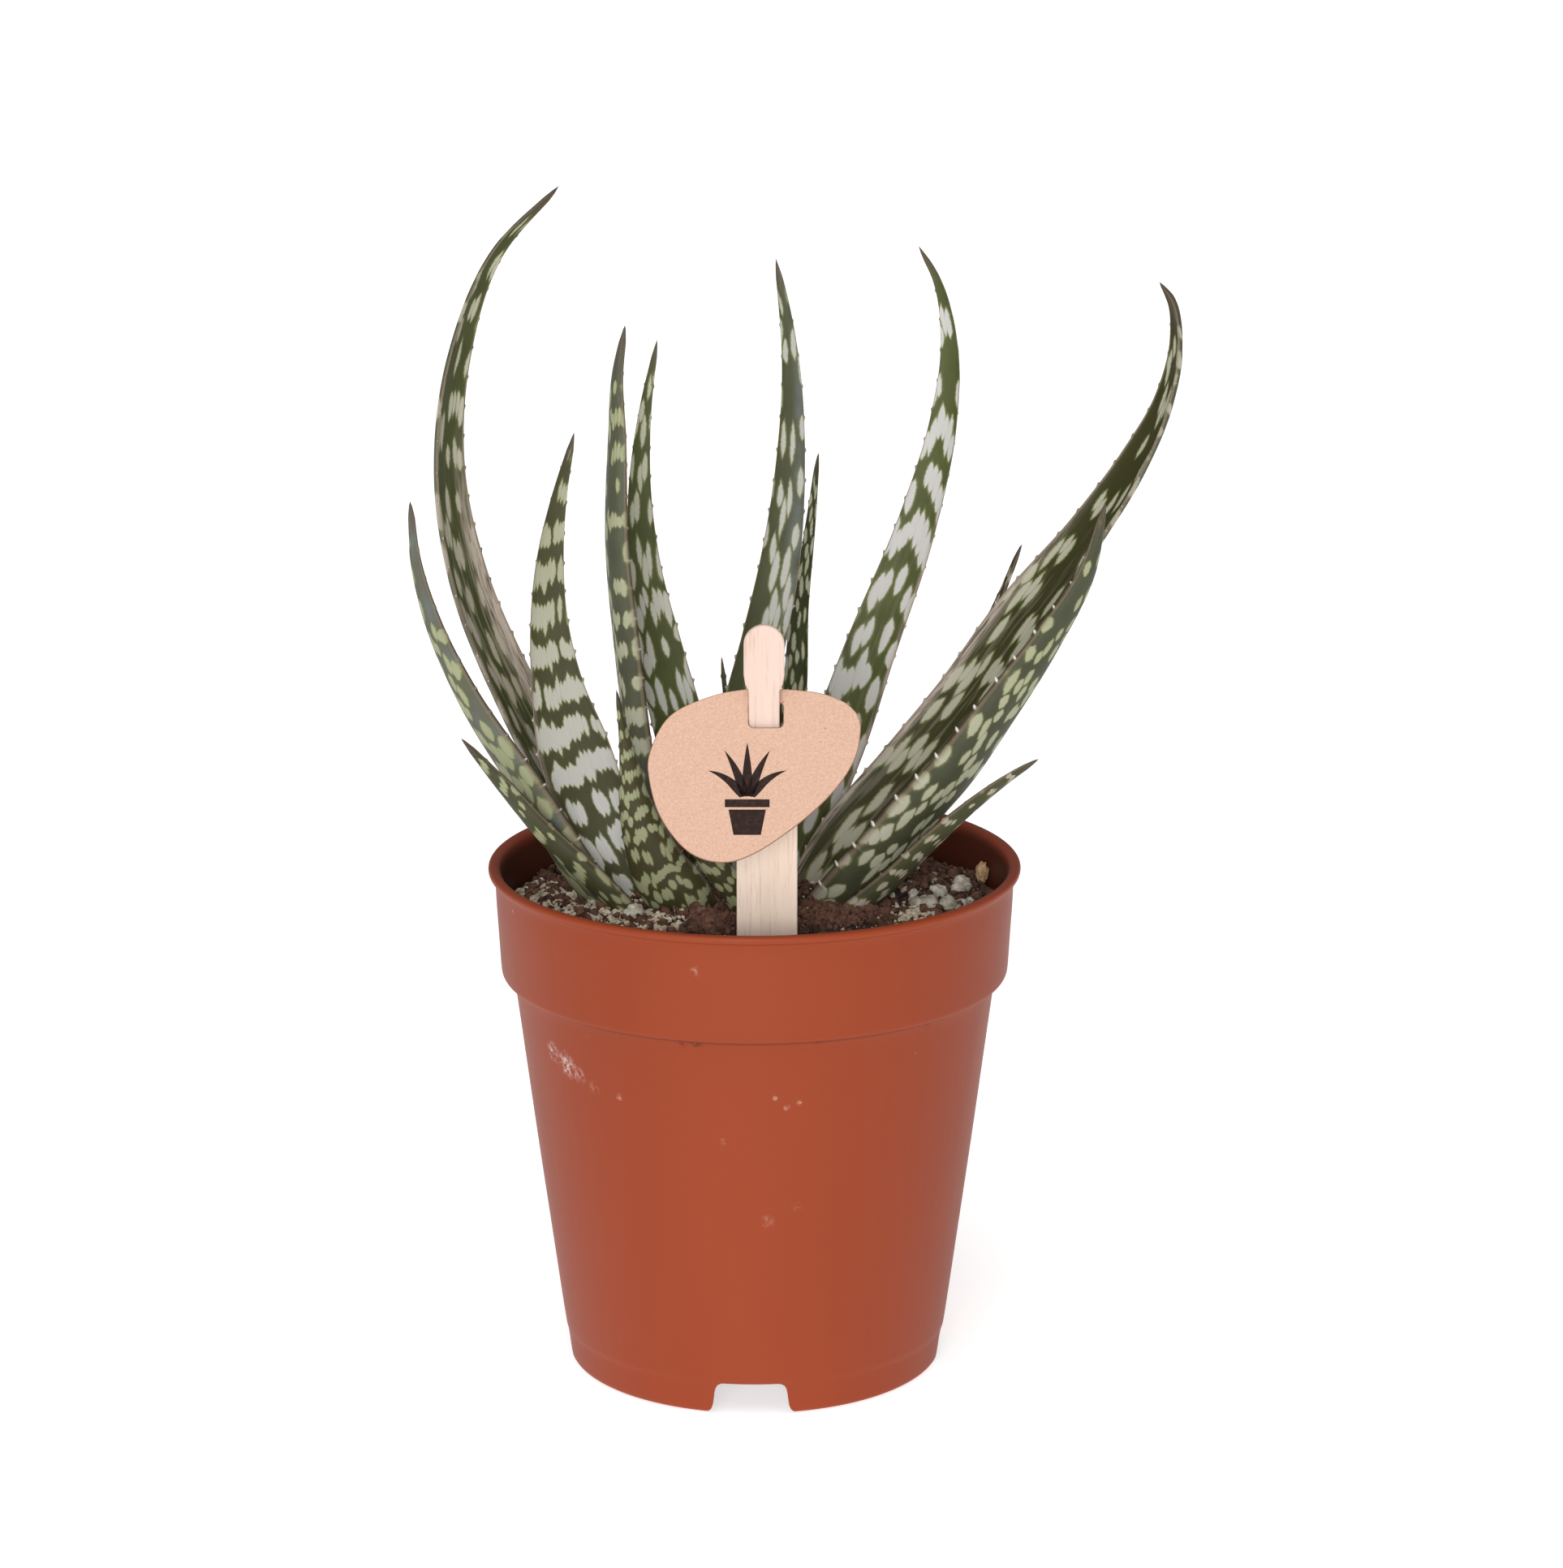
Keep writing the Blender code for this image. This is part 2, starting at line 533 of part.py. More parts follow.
def card_place(u, v, depth):
    """The card's own plane leans back by its top; depth counts away from the viewer."""
    y = STICK_Y + v * math.sin(CARD_LEAN) + depth * math.cos(CARD_LEAN)
    z = CARD_SLOT[1] + v * math.cos(CARD_LEAN) - depth * math.sin(CARD_LEAN)
    return (CARD_SLOT[0] + u, y, z)


def smooth_loop(points, steps):
    """A closed smooth outline through the points."""
    points = np.array(points, float)
    outline = []
    for i in range(len(points)):
        before, start, end, after = (points[(i + k) % len(points)] for k in (-1, 0, 1, 2))
        for x in np.arange(steps) / steps:
            here = 0.5 * (2 * start + (end - before) * x + (2 * before - 5 * start + 4 * end - after) * x**2
                          + (3 * start - before - 3 * end + after) * x**3)
            outline.append(tuple(here))
    return outline


def slot_outline():
    """A rectangle with rounded corners."""
    outline = []
    for side_u, side_v, start in ((1, 1, 0), (-1, 1, 90), (-1, -1, 180), (1, -1, 270)):
        for turn in (0, 45, 90):
            angle = math.radians(start + turn)
            u = side_u * (SLOT_HALF_WIDTH - SLOT_ROUND) + SLOT_ROUND * math.cos(angle)
            v = side_v * (SLOT_HALF_HEIGHT - SLOT_ROUND) + SLOT_ROUND * math.sin(angle)
            outline.append((u, v))
    return outline


def label_card(finish):
    """The board card with its slot."""
    half = CARD_THICKNESS / 2
    made = mesh_object("label_card", slab(smooth_loop(CARD_OUTLINE, CARD_STEPS), card_place, -half, half), finish)
    cut(made, mesh_object("slot_cutter", slab(slot_outline(), card_place, -3.0, 3.0)))
    return made


# Whole object

def recentre(objects):
    """Move every mesh so that the origin is the middle of the whole object's footprint."""
    corners = np.array([vertex.co for made in objects for vertex in made.data.vertices])
    low, high = corners.min(axis=0), corners.max(axis=0)
    shift = -(low + high) / 2.0
    for made in objects:
        for vertex in made.data.vertices:
            vertex.co.x += shift[0]
            vertex.co.y += shift[1]
    print("pot axis at", shift[0], shift[1])


def main():
    for old in list(bpy.data.objects):
        bpy.data.objects.remove(old)
    leaf_finish = material("leaf_green", LEAF_GREEN)
    stem = stem_solid("stem", material("stem_flesh", STEM_FLESH))
    filling = soil(material("peat", PEAT))
    leaves = []
    for name, leaf in LEAVES.items():
        leaves.append(leaf_solid(name, leaf, leaf_finish))
        cut(filling, leaf_solid(name + "_cutter", leaf, grow=HOLE_GAP), "MANIFOLD")
        cut(stem, leaf_solid(name + "_cutter", leaf, grow=HOLE_GAP), "MANIFOLD")
    cut(filling, stick_cutter())
    keep_largest(filling)
    keep_largest(stem)
    shell = pot(material("terracotta_plastic", TERRACOTTA_PLASTIC))
    stick = label_stick(material("birch", BIRCH))
    card = label_card(material("kraft_board", KRAFT_BOARD))
    recentre([shell, filling, stem, stick, card, *leaves])


main()
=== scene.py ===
"""Looks of the potted aloe: spotted leaves, moulded pot, peat with grains, birch stick and kraft card."""
import math
from collections import namedtuple

import bmesh
import bpy
import numpy as np
from bpy.props import FloatProperty, FloatVectorProperty, IntProperty, PointerProperty
from bpy.types import Operator, Panel, PropertyGroup
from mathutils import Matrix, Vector, noise


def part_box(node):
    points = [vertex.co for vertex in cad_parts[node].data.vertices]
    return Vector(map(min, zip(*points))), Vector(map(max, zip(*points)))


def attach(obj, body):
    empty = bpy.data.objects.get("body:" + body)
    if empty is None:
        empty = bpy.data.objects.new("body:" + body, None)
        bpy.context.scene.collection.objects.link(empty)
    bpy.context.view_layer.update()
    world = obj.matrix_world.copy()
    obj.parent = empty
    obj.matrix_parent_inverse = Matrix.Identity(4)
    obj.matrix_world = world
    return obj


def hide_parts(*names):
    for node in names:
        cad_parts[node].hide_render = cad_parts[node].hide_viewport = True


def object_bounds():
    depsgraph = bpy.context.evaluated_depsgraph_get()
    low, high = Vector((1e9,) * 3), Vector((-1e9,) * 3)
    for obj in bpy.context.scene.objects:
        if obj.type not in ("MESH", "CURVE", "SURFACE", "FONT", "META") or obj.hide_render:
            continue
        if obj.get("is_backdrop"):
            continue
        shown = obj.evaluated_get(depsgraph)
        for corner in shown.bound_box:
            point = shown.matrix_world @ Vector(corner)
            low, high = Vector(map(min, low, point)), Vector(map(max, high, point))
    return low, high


bl_info = {
    "name": "Potted aloe looks",
    "version": (1, 1, 0),
    "blender": (4, 5, 0),
    "location": "View3D > Sidebar > Potted aloe",
    "description": "Dresses the packed potted aloe with its leaves, pot, soil and label",
    "category": "Object",
}

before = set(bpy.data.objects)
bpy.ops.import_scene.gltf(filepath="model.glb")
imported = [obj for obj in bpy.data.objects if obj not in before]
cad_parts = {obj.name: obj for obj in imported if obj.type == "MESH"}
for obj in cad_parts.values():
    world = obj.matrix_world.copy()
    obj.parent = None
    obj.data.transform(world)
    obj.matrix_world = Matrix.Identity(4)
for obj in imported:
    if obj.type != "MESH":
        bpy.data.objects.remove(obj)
CAD_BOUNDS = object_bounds()

# Lengths below are in millimetres from the pot's axis and the floor, as in the part
MM = 0.001
POT_LOW, POT_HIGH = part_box("pot")
AXIS = Vector(((POT_LOW.x + POT_HIGH.x) / 2, (POT_LOW.y + POT_HIGH.y) / 2, POT_LOW.z))
LOW_CORNER, HIGH_CORNER = ((np.array(corner) - np.array(AXIS)) / MM for corner in CAD_BOUNDS)

# Camera, found from the pot's rim, step and foot
CAMERA_PLACE = (4.56, -850.0, 330.33)
CAMERA_PITCH = math.radians(15.105)
CAMERA_LENS = 120.04
CAMERA_SENSOR = 36.0

# Studio: a white room, and broad lamps given by compass direction, height over the floor, width and strength
FLOOR_REACH = 8.0
FLOOR_GLOW = 0.6
FLOOR_PALE = "#F9F9F9"
FLOOR_DROP = 0.1
LAMPS = {
    "key": (-112.0, 62.0, 50.0, 0.72),
    "front": (-96.0, 11.0, 34.0, 2.02),
    "fill": (-35.0, 40.0, 60.0, 0.14),
}

# Pot
POT_SEGMENTS = 240
# Profiles of the shell, as radius and height
POT_OUTSIDE = (
    (31.2, 0.0), (31.8, 0.4), (32.0, 1.2), (32.5, 5.6), (32.68, 5.9), (35.1, 24.0), (37.1, 38.8),
    (39.7, 59.3), (40.9, 68.5), (42.3, 68.6), (42.8, 68.9), (43.0, 69.6), (43.3, 75.3), (43.7, 81.5),
    (43.8, 85.4), (44.3, 86.0), (44.8, 86.2), (45.0, 86.7), (44.9, 87.2), (44.4, 87.5),
)
POT_INSIDE = (
    (43.5, 87.4), (42.9, 86.8), (42.6, 85.0), (42.4, 81.5), (41.9, 72.0), (41.3, 70.4), (39.7, 69.0),
    (38.5, 59.3), (35.9, 38.8), (33.9, 24.0), (32.0, 10.3), (31.2, 8.6), (30.0, 7.7),
)
POT_UNDERSIDE = ((29.0, 6.2), (30.0, 6.0), (30.6, 5.2), (30.3, 1.2), (29.9, 0.3), (29.6, 0.0))
FLOOR_TOP = 7.7
FLOOR_BOTTOM = 6.2
DRAIN_HOLES = 4
DRAIN_RADIUS = 3.5
DRAIN_CIRCLE = 18.0
NOTCHES = 4
NOTCH_TURN = math.radians(-91.0)
NOTCH_DEPTH = 10.0
# Right half of a notch's outline, as sideways place and height
NOTCH_HALF = (
    (4.6, 5.75), (5.1, 5.65), (5.6, 5.35), (5.9, 4.8), (6.1, 4.0), (6.2, 3.0), (6.4, 1.6), (6.7, 0.8),
    (7.2, 0.25), (8.0, 0.0), (8.0, -2.0),
)
# Where painted shade lies under the collar's step, where the painted shade on the inside wall fades out, and
# how the plastic's flow marks darken its colour
STEP_PAINTED_SHADE = (67.7, 68.3)
STEP_HEIGHT = 68.55
INNER_SHADE_FADE = (86.4, 89.0)
FLOW_SHADE = (0.94, 0.93, 0.93)
# Tints: film is painted shade on the inside wall, and step is painted shade under the collar's step
POT_TINTS = {"dust": "#D9B9A6", "film": "#3C2118", "step": "#5A2412"}
CHALK, NICK, DIRT = "#E3D6D2", "#D8B4A4", "#2E130C"
# Wear: compass direction, height, radius, strength and colour of each mark; a chalky scuff that
# trails off, then nicks, then dirt caught under the step
WEAR = (
    (-141.5, 59.4, 3.0, 0.75, CHALK),
    (-147.0, 60.6, 2.4, 0.65, CHALK),
    (-137.0, 58.2, 2.0, 0.5, CHALK),
    (-132.0, 56.8, 1.6, 0.3, NICK),
    (-124.4, 56.2, 0.9, 0.6, NICK),
    (-82.0, 56.6, 0.8, 0.6, NICK),
    (-79.0, 57.4, 0.7, 0.6, NICK),
    (-97.6, 50.5, 0.8, 0.5, NICK),
    (-86.5, 36.1, 1.6, 0.2, NICK),
    (-79.0, 38.6, 1.2, 0.15, NICK),
    (-102.5, 81.1, 1.2, 0.3, NICK),
    (-156.2, 83.8, 0.6, 0.6, NICK),
    (-106.0, 68.2, 1.7, 1.0, DIRT),
    (-103.0, 68.3, 1.5, 1.0, DIRT),
    (-74.8, 68.3, 1.4, 1.0, DIRT),
    (-45.0, 68.3, 1.7, 1.0, DIRT),
)

# Soil
SOIL_EDGE = 79.6
SOIL_CROWN = 83.2
SOIL_RIM_RADIUS = 41.9
SOIL_BUMP = 0.35
# Lumps of two sizes: height, scale and layer of the noise
SOIL_LUMPS = ((0.8, 0.22, 1.0), (0.5, 0.7, 5.0))
SOIL_BOTTOM = 8.0
SOIL_GAP = 0.3
# Grains: share set into the bed, how far small ones outnumber large ones, how uneven and how flat they are
SINK = 0.2
GRAIN_SKEW = 2.2
GRAIN_SWELL = 1.6
GRAIN_SQUASH = (0.55, 1.0)
# Fibres: steps and their length, bend at each step, thickness and height of the arch
FIBRE_STEPS = 10
FIBRE_STEP = 0.7
FIBRE_BEND = 0.35
FIBRE_THICK = (0.06, 0.13)
FIBRE_LIFT = (0.2, 1.3)
SOIL_RINGS = 84
SOIL_SPOKES = 220
# Patches of the bed: x, y and radius
SANDY_PATCHES = (
    (-33.0, 4.0, 6.0), (-37.0, 9.0, 4.0), (-37.0, -3.0, 5.0), (-25.0, -8.0, 7.0), (-33.0, -12.0, 5.0),
    (-26.0, -20.0, 5.0), (-16.0, -20.0, 6.0), (27.0, -12.0, 6.0), (-30.0, -3.0, 6.0), (-22.0, -14.0, 6.0),
)
PUMICE_PATCHES = (
    (24.0, -8.5, 6.0), (31.5, -6.0, 6.0), (35.0, 5.0, 5.0), (-24.0, -7.5, 3.0), (-20.0, -12.0, 3.0),
)
FIBRE_PATCHES = ((16.0, -11.0, 6.0), (12.0, -17.0, 5.0), (-7.0, -18.0, 4.0))
HUSK_PLACE = (39.0, 13.0)
HUSK_SIZE = (1.05, 0.8, 1.9)
HUSK_RISE = 1.1
# Crumpling of the husk: strength, then share and scale of its folds
HUSK_CRUMPLE = 0.30
HUSK_FOLDS = ((1.0, 2.2), (0.5, 5.0))
# Looks of what is loose or soft: dark and light shade, scale of the grain, roughness and relief
GRAINY_LOOKS = {
    "damp_peat": ("#160F0C", "#3C2A20", 500.0, 0.95, 0.6),  # nearly black, matt and crumbly
    "dry_peat": ("#2A1710", "#7A5540", 500.0, 0.95, 0.4),  # warm brown where crumbs have dried
    "coir_dust": ("#55332A", "#86604F", 600.0, 0.9, 0.4),  # reddish and fluffy
    "quartz_sand": ("#A08E76", "#E6DCC6", 900.0, 0.8, 0.1),  # pale and bright
    "crushed_pumice": ("#8F8670", "#E0DBCC", 700.0, 0.9, 0.4),  # chalky and porous
    "dried_husk": ("#A27C57", "#D6B58D", 1200.0, 0.9, 0.3),  # straw-coloured and papery
    "stem_flesh": ("#77803F", "#9AA05A", 300.0, 0.6, 0.1),  # pale green and moist
}

# Leaves: points (x, y, height, width), compass direction of the inner face at base and tip, thickness, and
# the channel's depth as a share of the width
LEAVES = {
    "leaf_01": (
        ((-12.9, -2.5, 71.3, 3.5), (-27.4, -5.5, 84.6, 9.3), (-36.7, -7.0, 100.1, 8.3),
         (-48.2, -9.0, 119.5, 5.8), (-53.0, -10.5, 131.2, 4.0), (-55.6, -12.0, 142.3, 2.1),
         (-56.1, -14.0, 152.5, 0.6)),
        30, 35, 3.3, 0.16),
    "leaf_02": (
        ((-12.9, 5.0, 72.0, 3.5), (-25.4, 7.0, 86.1, 10.4), (-33.1, 8.0, 99.7, 10.1),
         (-40.0, 8.0, 113.3, 9.3), (-48.3, 7.0, 135.0, 8.2), (-51.0, 6.0, 152.1, 6.7),
         (-49.1, 6.5, 172.7, 4.8), (-42.4, 7.0, 190.1, 2.4), (-32.1, 7.5, 201.0, 0.6)),
        -36, -40, 2.8, 0.26),
    "leaf_03": (
        ((-10.4, -3.0, 75.3, 3.5), (-24.4, -4.0, 91.6, 8.6), (-27.4, -3.5, 99.1, 11.6),
         (-30.4, -3.5, 108.2, 12.0), (-32.9, -3.0, 118.3, 8.9), (-34.3, -2.0, 130.3, 6.2),
         (-34.0, -1.5, 139.9, 4.6), (-32.5, -1.0, 149.9, 2.7), (-29.7, -1.0, 161.4, 0.6)),
        -82, -75, 3.0, 0.16),
    "leaf_04": (
        ((-12.4, -7.0, 70.4, 3.5), (-26.1, -11.5, 86.6, 5.1), (-34.8, -12.0, 95.5, 4.4),
         (-41.3, -13.0, 103.6, 3.2), (-48.4, -14.0, 112.5, 0.6)),
        45, 50, 2.2, 0.16),
    "leaf_05": (
        ((-9.4, 4.0, 76.1, 3.5), (-16.9, 2.0, 88.8, 7.3), (-19.7, 3.0, 106.9, 6.2),
         (-21.6, 2.5, 124.1, 6.5), (-23.1, 2.0, 141.7, 5.8), (-22.9, 3.0, 159.8, 4.4),
         (-22.7, 3.5, 170.3, 2.5), (-21.3, 4.0, 178.4, 0.6)),
        28, 36, 2.8, 0.16),
    "leaf_06": (
        ((-6.9, 8.0, 75.9, 3.5), (-11.5, 9.0, 102.2, 9.0), (-15.9, 11.0, 120.2, 8.0),
         (-18.7, 12.0, 135.8, 5.6), (-19.4, 12.5, 149.4, 3.8), (-18.3, 14.5, 162.8, 2.0),
         (-16.3, 16.0, 173.8, 0.6)),
        -70, -80, 2.6, 0.16),
    "leaf_07": (
        ((-7.4, -8.5, 74.6, 3.5), (-12.9, -12.0, 84.8, 11.1), (-15.9, -12.5, 89.4, 9.8),
         (-17.9, -13.0, 94.5, 8.0), (-19.9, -13.5, 101.6, 5.3), (-20.6, -14.0, 107.1, 3.5),
         (-21.6, -15.0, 114.2, 1.6), (-22.6, -16.0, 121.3, 0.6)),
        80, 90, 3.0, 0.16),
    "leaf_08": (
        ((-3.9, -2.0, 77.3, 3.5), (-3.4, -1.5, 95.0, 9.5), (-1.9, 0.0, 110.1, 8.6),
         (1.6, 1.0, 125.7, 7.5), (4.2, 2.0, 138.2, 6.7), (6.0, 3.0, 154.3, 5.0), (6.0, 4.0, 173.3, 2.8),
         (4.7, 5.0, 183.3, 1.6), (3.6, 5.5, 189.3, 0.6)),
        -95, -90, 3.0, 0.16),
    "leaf_09": (
        ((0.6, 3.0, 77.1, 3.5), (2.1, 4.0, 96.3, 5.6), (6.4, 5.5, 111.9, 4.5), (7.9, 8.5, 130.9, 3.0),
         (9.3, 10.0, 141.4, 1.9), (10.8, 13.0, 155.1, 0.6)),
        -100, -110, 2.4, 0.16),
    "leaf_10": (
        ((-4.9, 2.0, 79.2, 1.7), (-4.9, 2.0, 94.4, 2.1), (-4.4, 2.5, 109.5, 1.2), (-5.5, 3.0, 122.3, 0.6)),
        -90, -90, 1.6, 0.16),
    "leaf_11": (
        ((2.1, 8.0, 74.9, 3.5), (7.6, 8.5, 89.0, 9.0), (13.6, 10.5, 103.6, 9.9), (19.9, 13.0, 121.2, 8.9),
         (27.8, 15.5, 142.7, 6.8), (32.0, 18.0, 159.2, 4.8), (33.0, 20.0, 171.6, 3.1),
         (30.6, 22.0, 183.4, 1.3), (27.6, 22.5, 188.6, 0.6)),
        -110, -110, 3.0, 0.16),
    "leaf_12": (
        ((5.1, 1.5, 75.2, 3.5), (14.1, 1.5, 90.3, 7.9), (25.0, 3.5, 102.6, 8.9), (34.5, 4.5, 114.1, 9.5),
         (44.4, 6.0, 127.7, 10.5), (56.1, 7.5, 143.0, 8.2), (63.5, 8.5, 154.2, 7.0),
         (68.4, 9.0, 164.6, 4.9), (70.3, 9.5, 175.1, 3.2), (69.3, 10.0, 181.6, 1.8),
         (67.3, 10.0, 184.6, 0.6)),
        -120, -163, 3.1, 0.26),
    "leaf_13": (
        ((5.1, -4.5, 73.4, 3.5), (19.1, -8.0, 88.2, 12.9), (26.1, -10.0, 97.4, 11.9),
         (33.6, -11.5, 106.5, 10.7), (39.9, -12.0, 115.7, 9.4), (48.2, -12.5, 128.2, 6.8),
         (54.6, -13.5, 140.0, 3.9), (57.5, -15.0, 152.5, 0.6)),
        140, 135, 3.2, 0.16),
    "leaf_14": (
        ((8.1, 7.0, 73.9, 3.3), (17.1, 10.0, 90.0, 4.7), (23.1, 12.0, 100.0, 3.8),
         (34.7, 16.0, 114.5, 2.4), (41.4, 19.0, 127.5, 1.4), (45.6, 22.0, 137.4, 0.6)),
        -150, -150, 2.2, 0.16),
    "leaf_15": (
        ((4.1, -10.5, 71.6, 3.0), (23.1, -10.5, 87.3, 5.0), (26.9, -12.0, 91.6, 4.9),
         (33.9, -15.0, 99.3, 4.0), (41.6, -19.0, 106.8, 2.5), (46.7, -22.0, 111.1, 0.6)),
        140, 140, 2.2, 0.16),
    "leaf_16": (
        ((-1.9, -9.5, 72.6, 3.5), (-1.9, -14.0, 84.9, 5.6), (-6.9, -15.5, 91.0, 3.8),
         (-13.9, -15.0, 102.1, 0.6)),
        100, 100, 2.2, 0.16),
}
# Blade: least thickness, share that it thins by towards the tip, depth of the channel, fullness of the outer
# face, and the tip's width, length and least share of the width
LEAF_LEAST = 0.7
LEAF_THINNING = 0.75
CHANNEL_DIP = 0.6
OUTER_BOW = 0.85
TIP_WIDTH = 0.5
TIP_LENGTH = 3.0
TIP_LEAST = 0.12
# Teeth: pitch and scatter along the margin, spread of heights, hooked shape, and how much the margin beside
# each one follows it and shows horn
TOOTH_PITCH = 5.2
TOOTH_SCATTER = 0.35
TOOTH_HEIGHTS = (0.75, 1.05)
TOOTH_LEAN = 0.6
TOOTH_FOOT = 0.55
TOOTH_BOW = 1.3
TOOTH_FULL_WIDTH = 8.0
TOOTH_LEAST = 0.4
BESIDE_PUSH = 0.18
BESIDE_HORN = 0.12
BARE_LENGTH = 14.0
TOOTHED_SHARE = 0.94
RING_STEP = 0.7
RING_LEAST = 0.07
LAST_RING = 0.994
TOOTH_STEP = 0.15
OUTER_STEPS = 16
INNER_STEPS = 14
Blade = namedtuple("Blade", "middle heading normal across width thick")

# Markings of one face: spacing of its columns of ovals across the leaf and of its rows along it; an oval's
# half length and half width as shares of those; stagger of the columns; share of places left bare
Face = namedtuple("Face", "column pitch length width stagger bare")
# A leaf's skin: its two faces, the greens of both, the spots' colour low down and higher up, its dry streaks,
# the side with a pale margin (-1 or 1) and where that starts, and the side with a bluish painted sheen (0 for
# none)
Marks = namedtuple("Marks", (
    "inner", "outer", "green", "outer_green", "spot_low", "spot_high", "streaks", "pale_side", "pale_from",
    "bloom_side",
), defaults=(0.0, 0, 1.0, 0))
# What a leaf's mesh tells of each point: its place, that place across and along the leaf, how near it is to
# the edges (signed by side, and plain), the face, the share of the length, and a tooth's height
Skin = namedtuple("Skin", "place across along signed_edge edge inner share tooth")
WHITE_GREY, CREAM, CREAM_GREEN, PINKISH = "#BDBBB6", "#ACAB97", "#979A78", "#AA9F94"
SMALL = Face(1.5, 5.4, 0.32, 0.38, 0.9, 0.48)
MARKS = {
    "leaf_01": Marks(
        SMALL, Face(2.2, 6.0, 0.38, 0.40, 0.9, 0.42),
        "#4C512F", "#595947", CREAM_GREEN, CREAM_GREEN, 0.0, 1, 0.88, -1,
    ),
    "leaf_02": Marks(
        Face(2.2, 8.5, 0.38, 0.36, 0.9, 0.46), Face(1.9, 8.0, 0.36, 0.36, 0.9, 0.44),
        "#464A27", "#484B37", PINKISH, CREAM, 0.5, 1, 0.45, 0,
    ),
    "leaf_03": Marks(
        Face(1.8, 6.8, 0.38, 0.49, 0.26, 0.38), SMALL,
        "#434227", "#454A33", WHITE_GREY, "#9E9D85", 0.0, -1, 0.92, 0,
    ),
    "leaf_04": Marks(
        SMALL, Face(1.4, 5.0, 0.30, 0.36, 0.9, 0.46),
        "#46452C", "#45452F", CREAM_GREEN, CREAM_GREEN,
    ),
    "leaf_05": Marks(
        SMALL, Face(1.7, 5.6, 0.36, 0.40, 0.9, 0.42),
        "#414A2A", "#4F513F", CREAM, CREAM_GREEN, 0.0, 1, 0.94, 1,
    ),
    "leaf_06": Marks(
        Face(2.2, 7.8, 0.40, 0.43, 0.7, 0.41), SMALL,
        "#474E26", "#474B30", WHITE_GREY, CREAM,
    ),
    "leaf_07": Marks(
        SMALL, Face(1.5, 3.6, 0.34, 0.42, 0.5, 0.36),
        "#454128", "#454128", CREAM_GREEN, CREAM_GREEN,
    ),
    "leaf_08": Marks(
        Face(2.3, 9.2, 0.38, 0.38, 0.9, 0.49), SMALL,
        "#414328", "#454B30", "#A7A6A0", "#A7A6A0", 0.0, 0, 1.0, 1,
    ),
    "leaf_09": Marks(
        Face(1.4, 6.0, 0.34, 0.40, 0.9, 0.44), SMALL,
        "#3B3F22", "#3B3F22", CREAM, CREAM,
    ),
    "leaf_10": Marks(
        SMALL, SMALL,
        "#3B3F22", "#3B3F22", CREAM_GREEN, CREAM_GREEN,
    ),
    "leaf_11": Marks(
        Face(2.7, 8.8, 0.41, 0.45, 0.7, 0.44), SMALL,
        "#4C5229", "#474B30", WHITE_GREY, WHITE_GREY, 0.1, 1, 0.86, 0,
    ),
    "leaf_12": Marks(
        Face(2.4, 9.0, 0.40, 0.36, 0.9, 0.49), Face(1.6, 5.6, 0.34, 0.40, 0.9, 0.44),
        "#383717", "#424630", "#A8A592", CREAM, 0.25, -1, 0.80, 0,
    ),
    "leaf_13": Marks(
        SMALL, Face(2.0, 5.8, 0.36, 0.44, 0.7, 0.46),
        "#46512F", "#464834", CREAM, CREAM_GREEN, 0.0, -1, 0.90, 0,
    ),
    "leaf_14": Marks(
        SMALL, SMALL,
        "#3C3625", "#3C3625", PINKISH, PINKISH, 0.3,
    ),
    "leaf_15": Marks(
        SMALL, Face(1.3, 4.5, 0.28, 0.34, 0.9, 0.48),
        "#4B4B33", "#4B4B33", PINKISH, PINKISH,
    ),
    "leaf_16": Marks(
        SMALL, Face(1.5, 3.6, 0.34, 0.42, 0.5, 0.40),
        "#454128", "#454128", CREAM_GREEN, CREAM_GREEN,
    ),
}
# Tints of every leaf's skin; the bluish one is painted sheen
SKIN_TINTS = {
    "bloom": "#6A7272", "ring": "#666B38", "cream": "#8B8D69", "streak": "#9D9182", "margin": "#B5A69A",
    "rim": "#8C7A66", "dry_tip": "#58483D", "horn": "#EDE8DE",
}
# Depths at which a spot's ring, its cream edge and its heart begin and are full
SPOT_EDGES = ((-0.22, 0.02), (-0.06, 0.10), (0.0, 0.16))
# Ovals: spread of their lengths and widths, how blunt their ends are, how softly two merge, the shape of a
# cluster in columns and rows, and how much of the chance to stand is an oval's own
OVAL_LENGTHS = (0.72, 1.22)
OVAL_WIDTHS = (0.7, 1.1)
OVAL_BOW = 2.5
OVAL_MERGE = 0.12
CLUSTER_SHAPE = (0.55, 0.9, 1.0)
OWN_CHANCE = 0.35
CHANCE_SHIFT = 0.17
# Warps of the skin's pattern: scale, and reach across and along the leaf
WARPS = ((0.16, 0.9, 2.6), (1.6, 0.28, 0.5))
LONG_TEETH = ("leaf_13",)

# Label
STICK_Y = -32.0
STICK_THICKNESS = 1.2
STICK_BODY_X = 2.2
STICK_BODY_HALF = 4.95
STICK_HEAD_X = 1.75
STICK_FOOT = 42.0
STICK_SHOULDER = 110.4
STICK_NECK_LOW = 114.4
STICK_NECK_HIGH = 125.1
STICK_NECK_HALF = 2.5
STICK_HEAD_HALF = 3.3
STICK_HEAD_LOW = 127.8
STICK_HEAD_TOP = 136.1
CARD_SLOT = (2.05, 121.0)
CARD_LEAN = math.radians(30.0)
CARD_THICKNESS = 0.7
# Heights between which the wood turns from a pale tint, painted light that makes up for the card's shadow on
# the stick below it, to its own tone
STICK_PAINTED_LIGHT = (104.0, 118.0)
BIRCH_TINTS = {"pale": "#F6E3D2", "band": "#CDB09A", "line": "#B8927A"}
PULP_SHADE = (0.78, 0.70, 0.65)
KRAFT_TINTS = {"fleck": "#9A6A4C", "rim": "#7E543E"}
WORN_INK = "#4A352E"
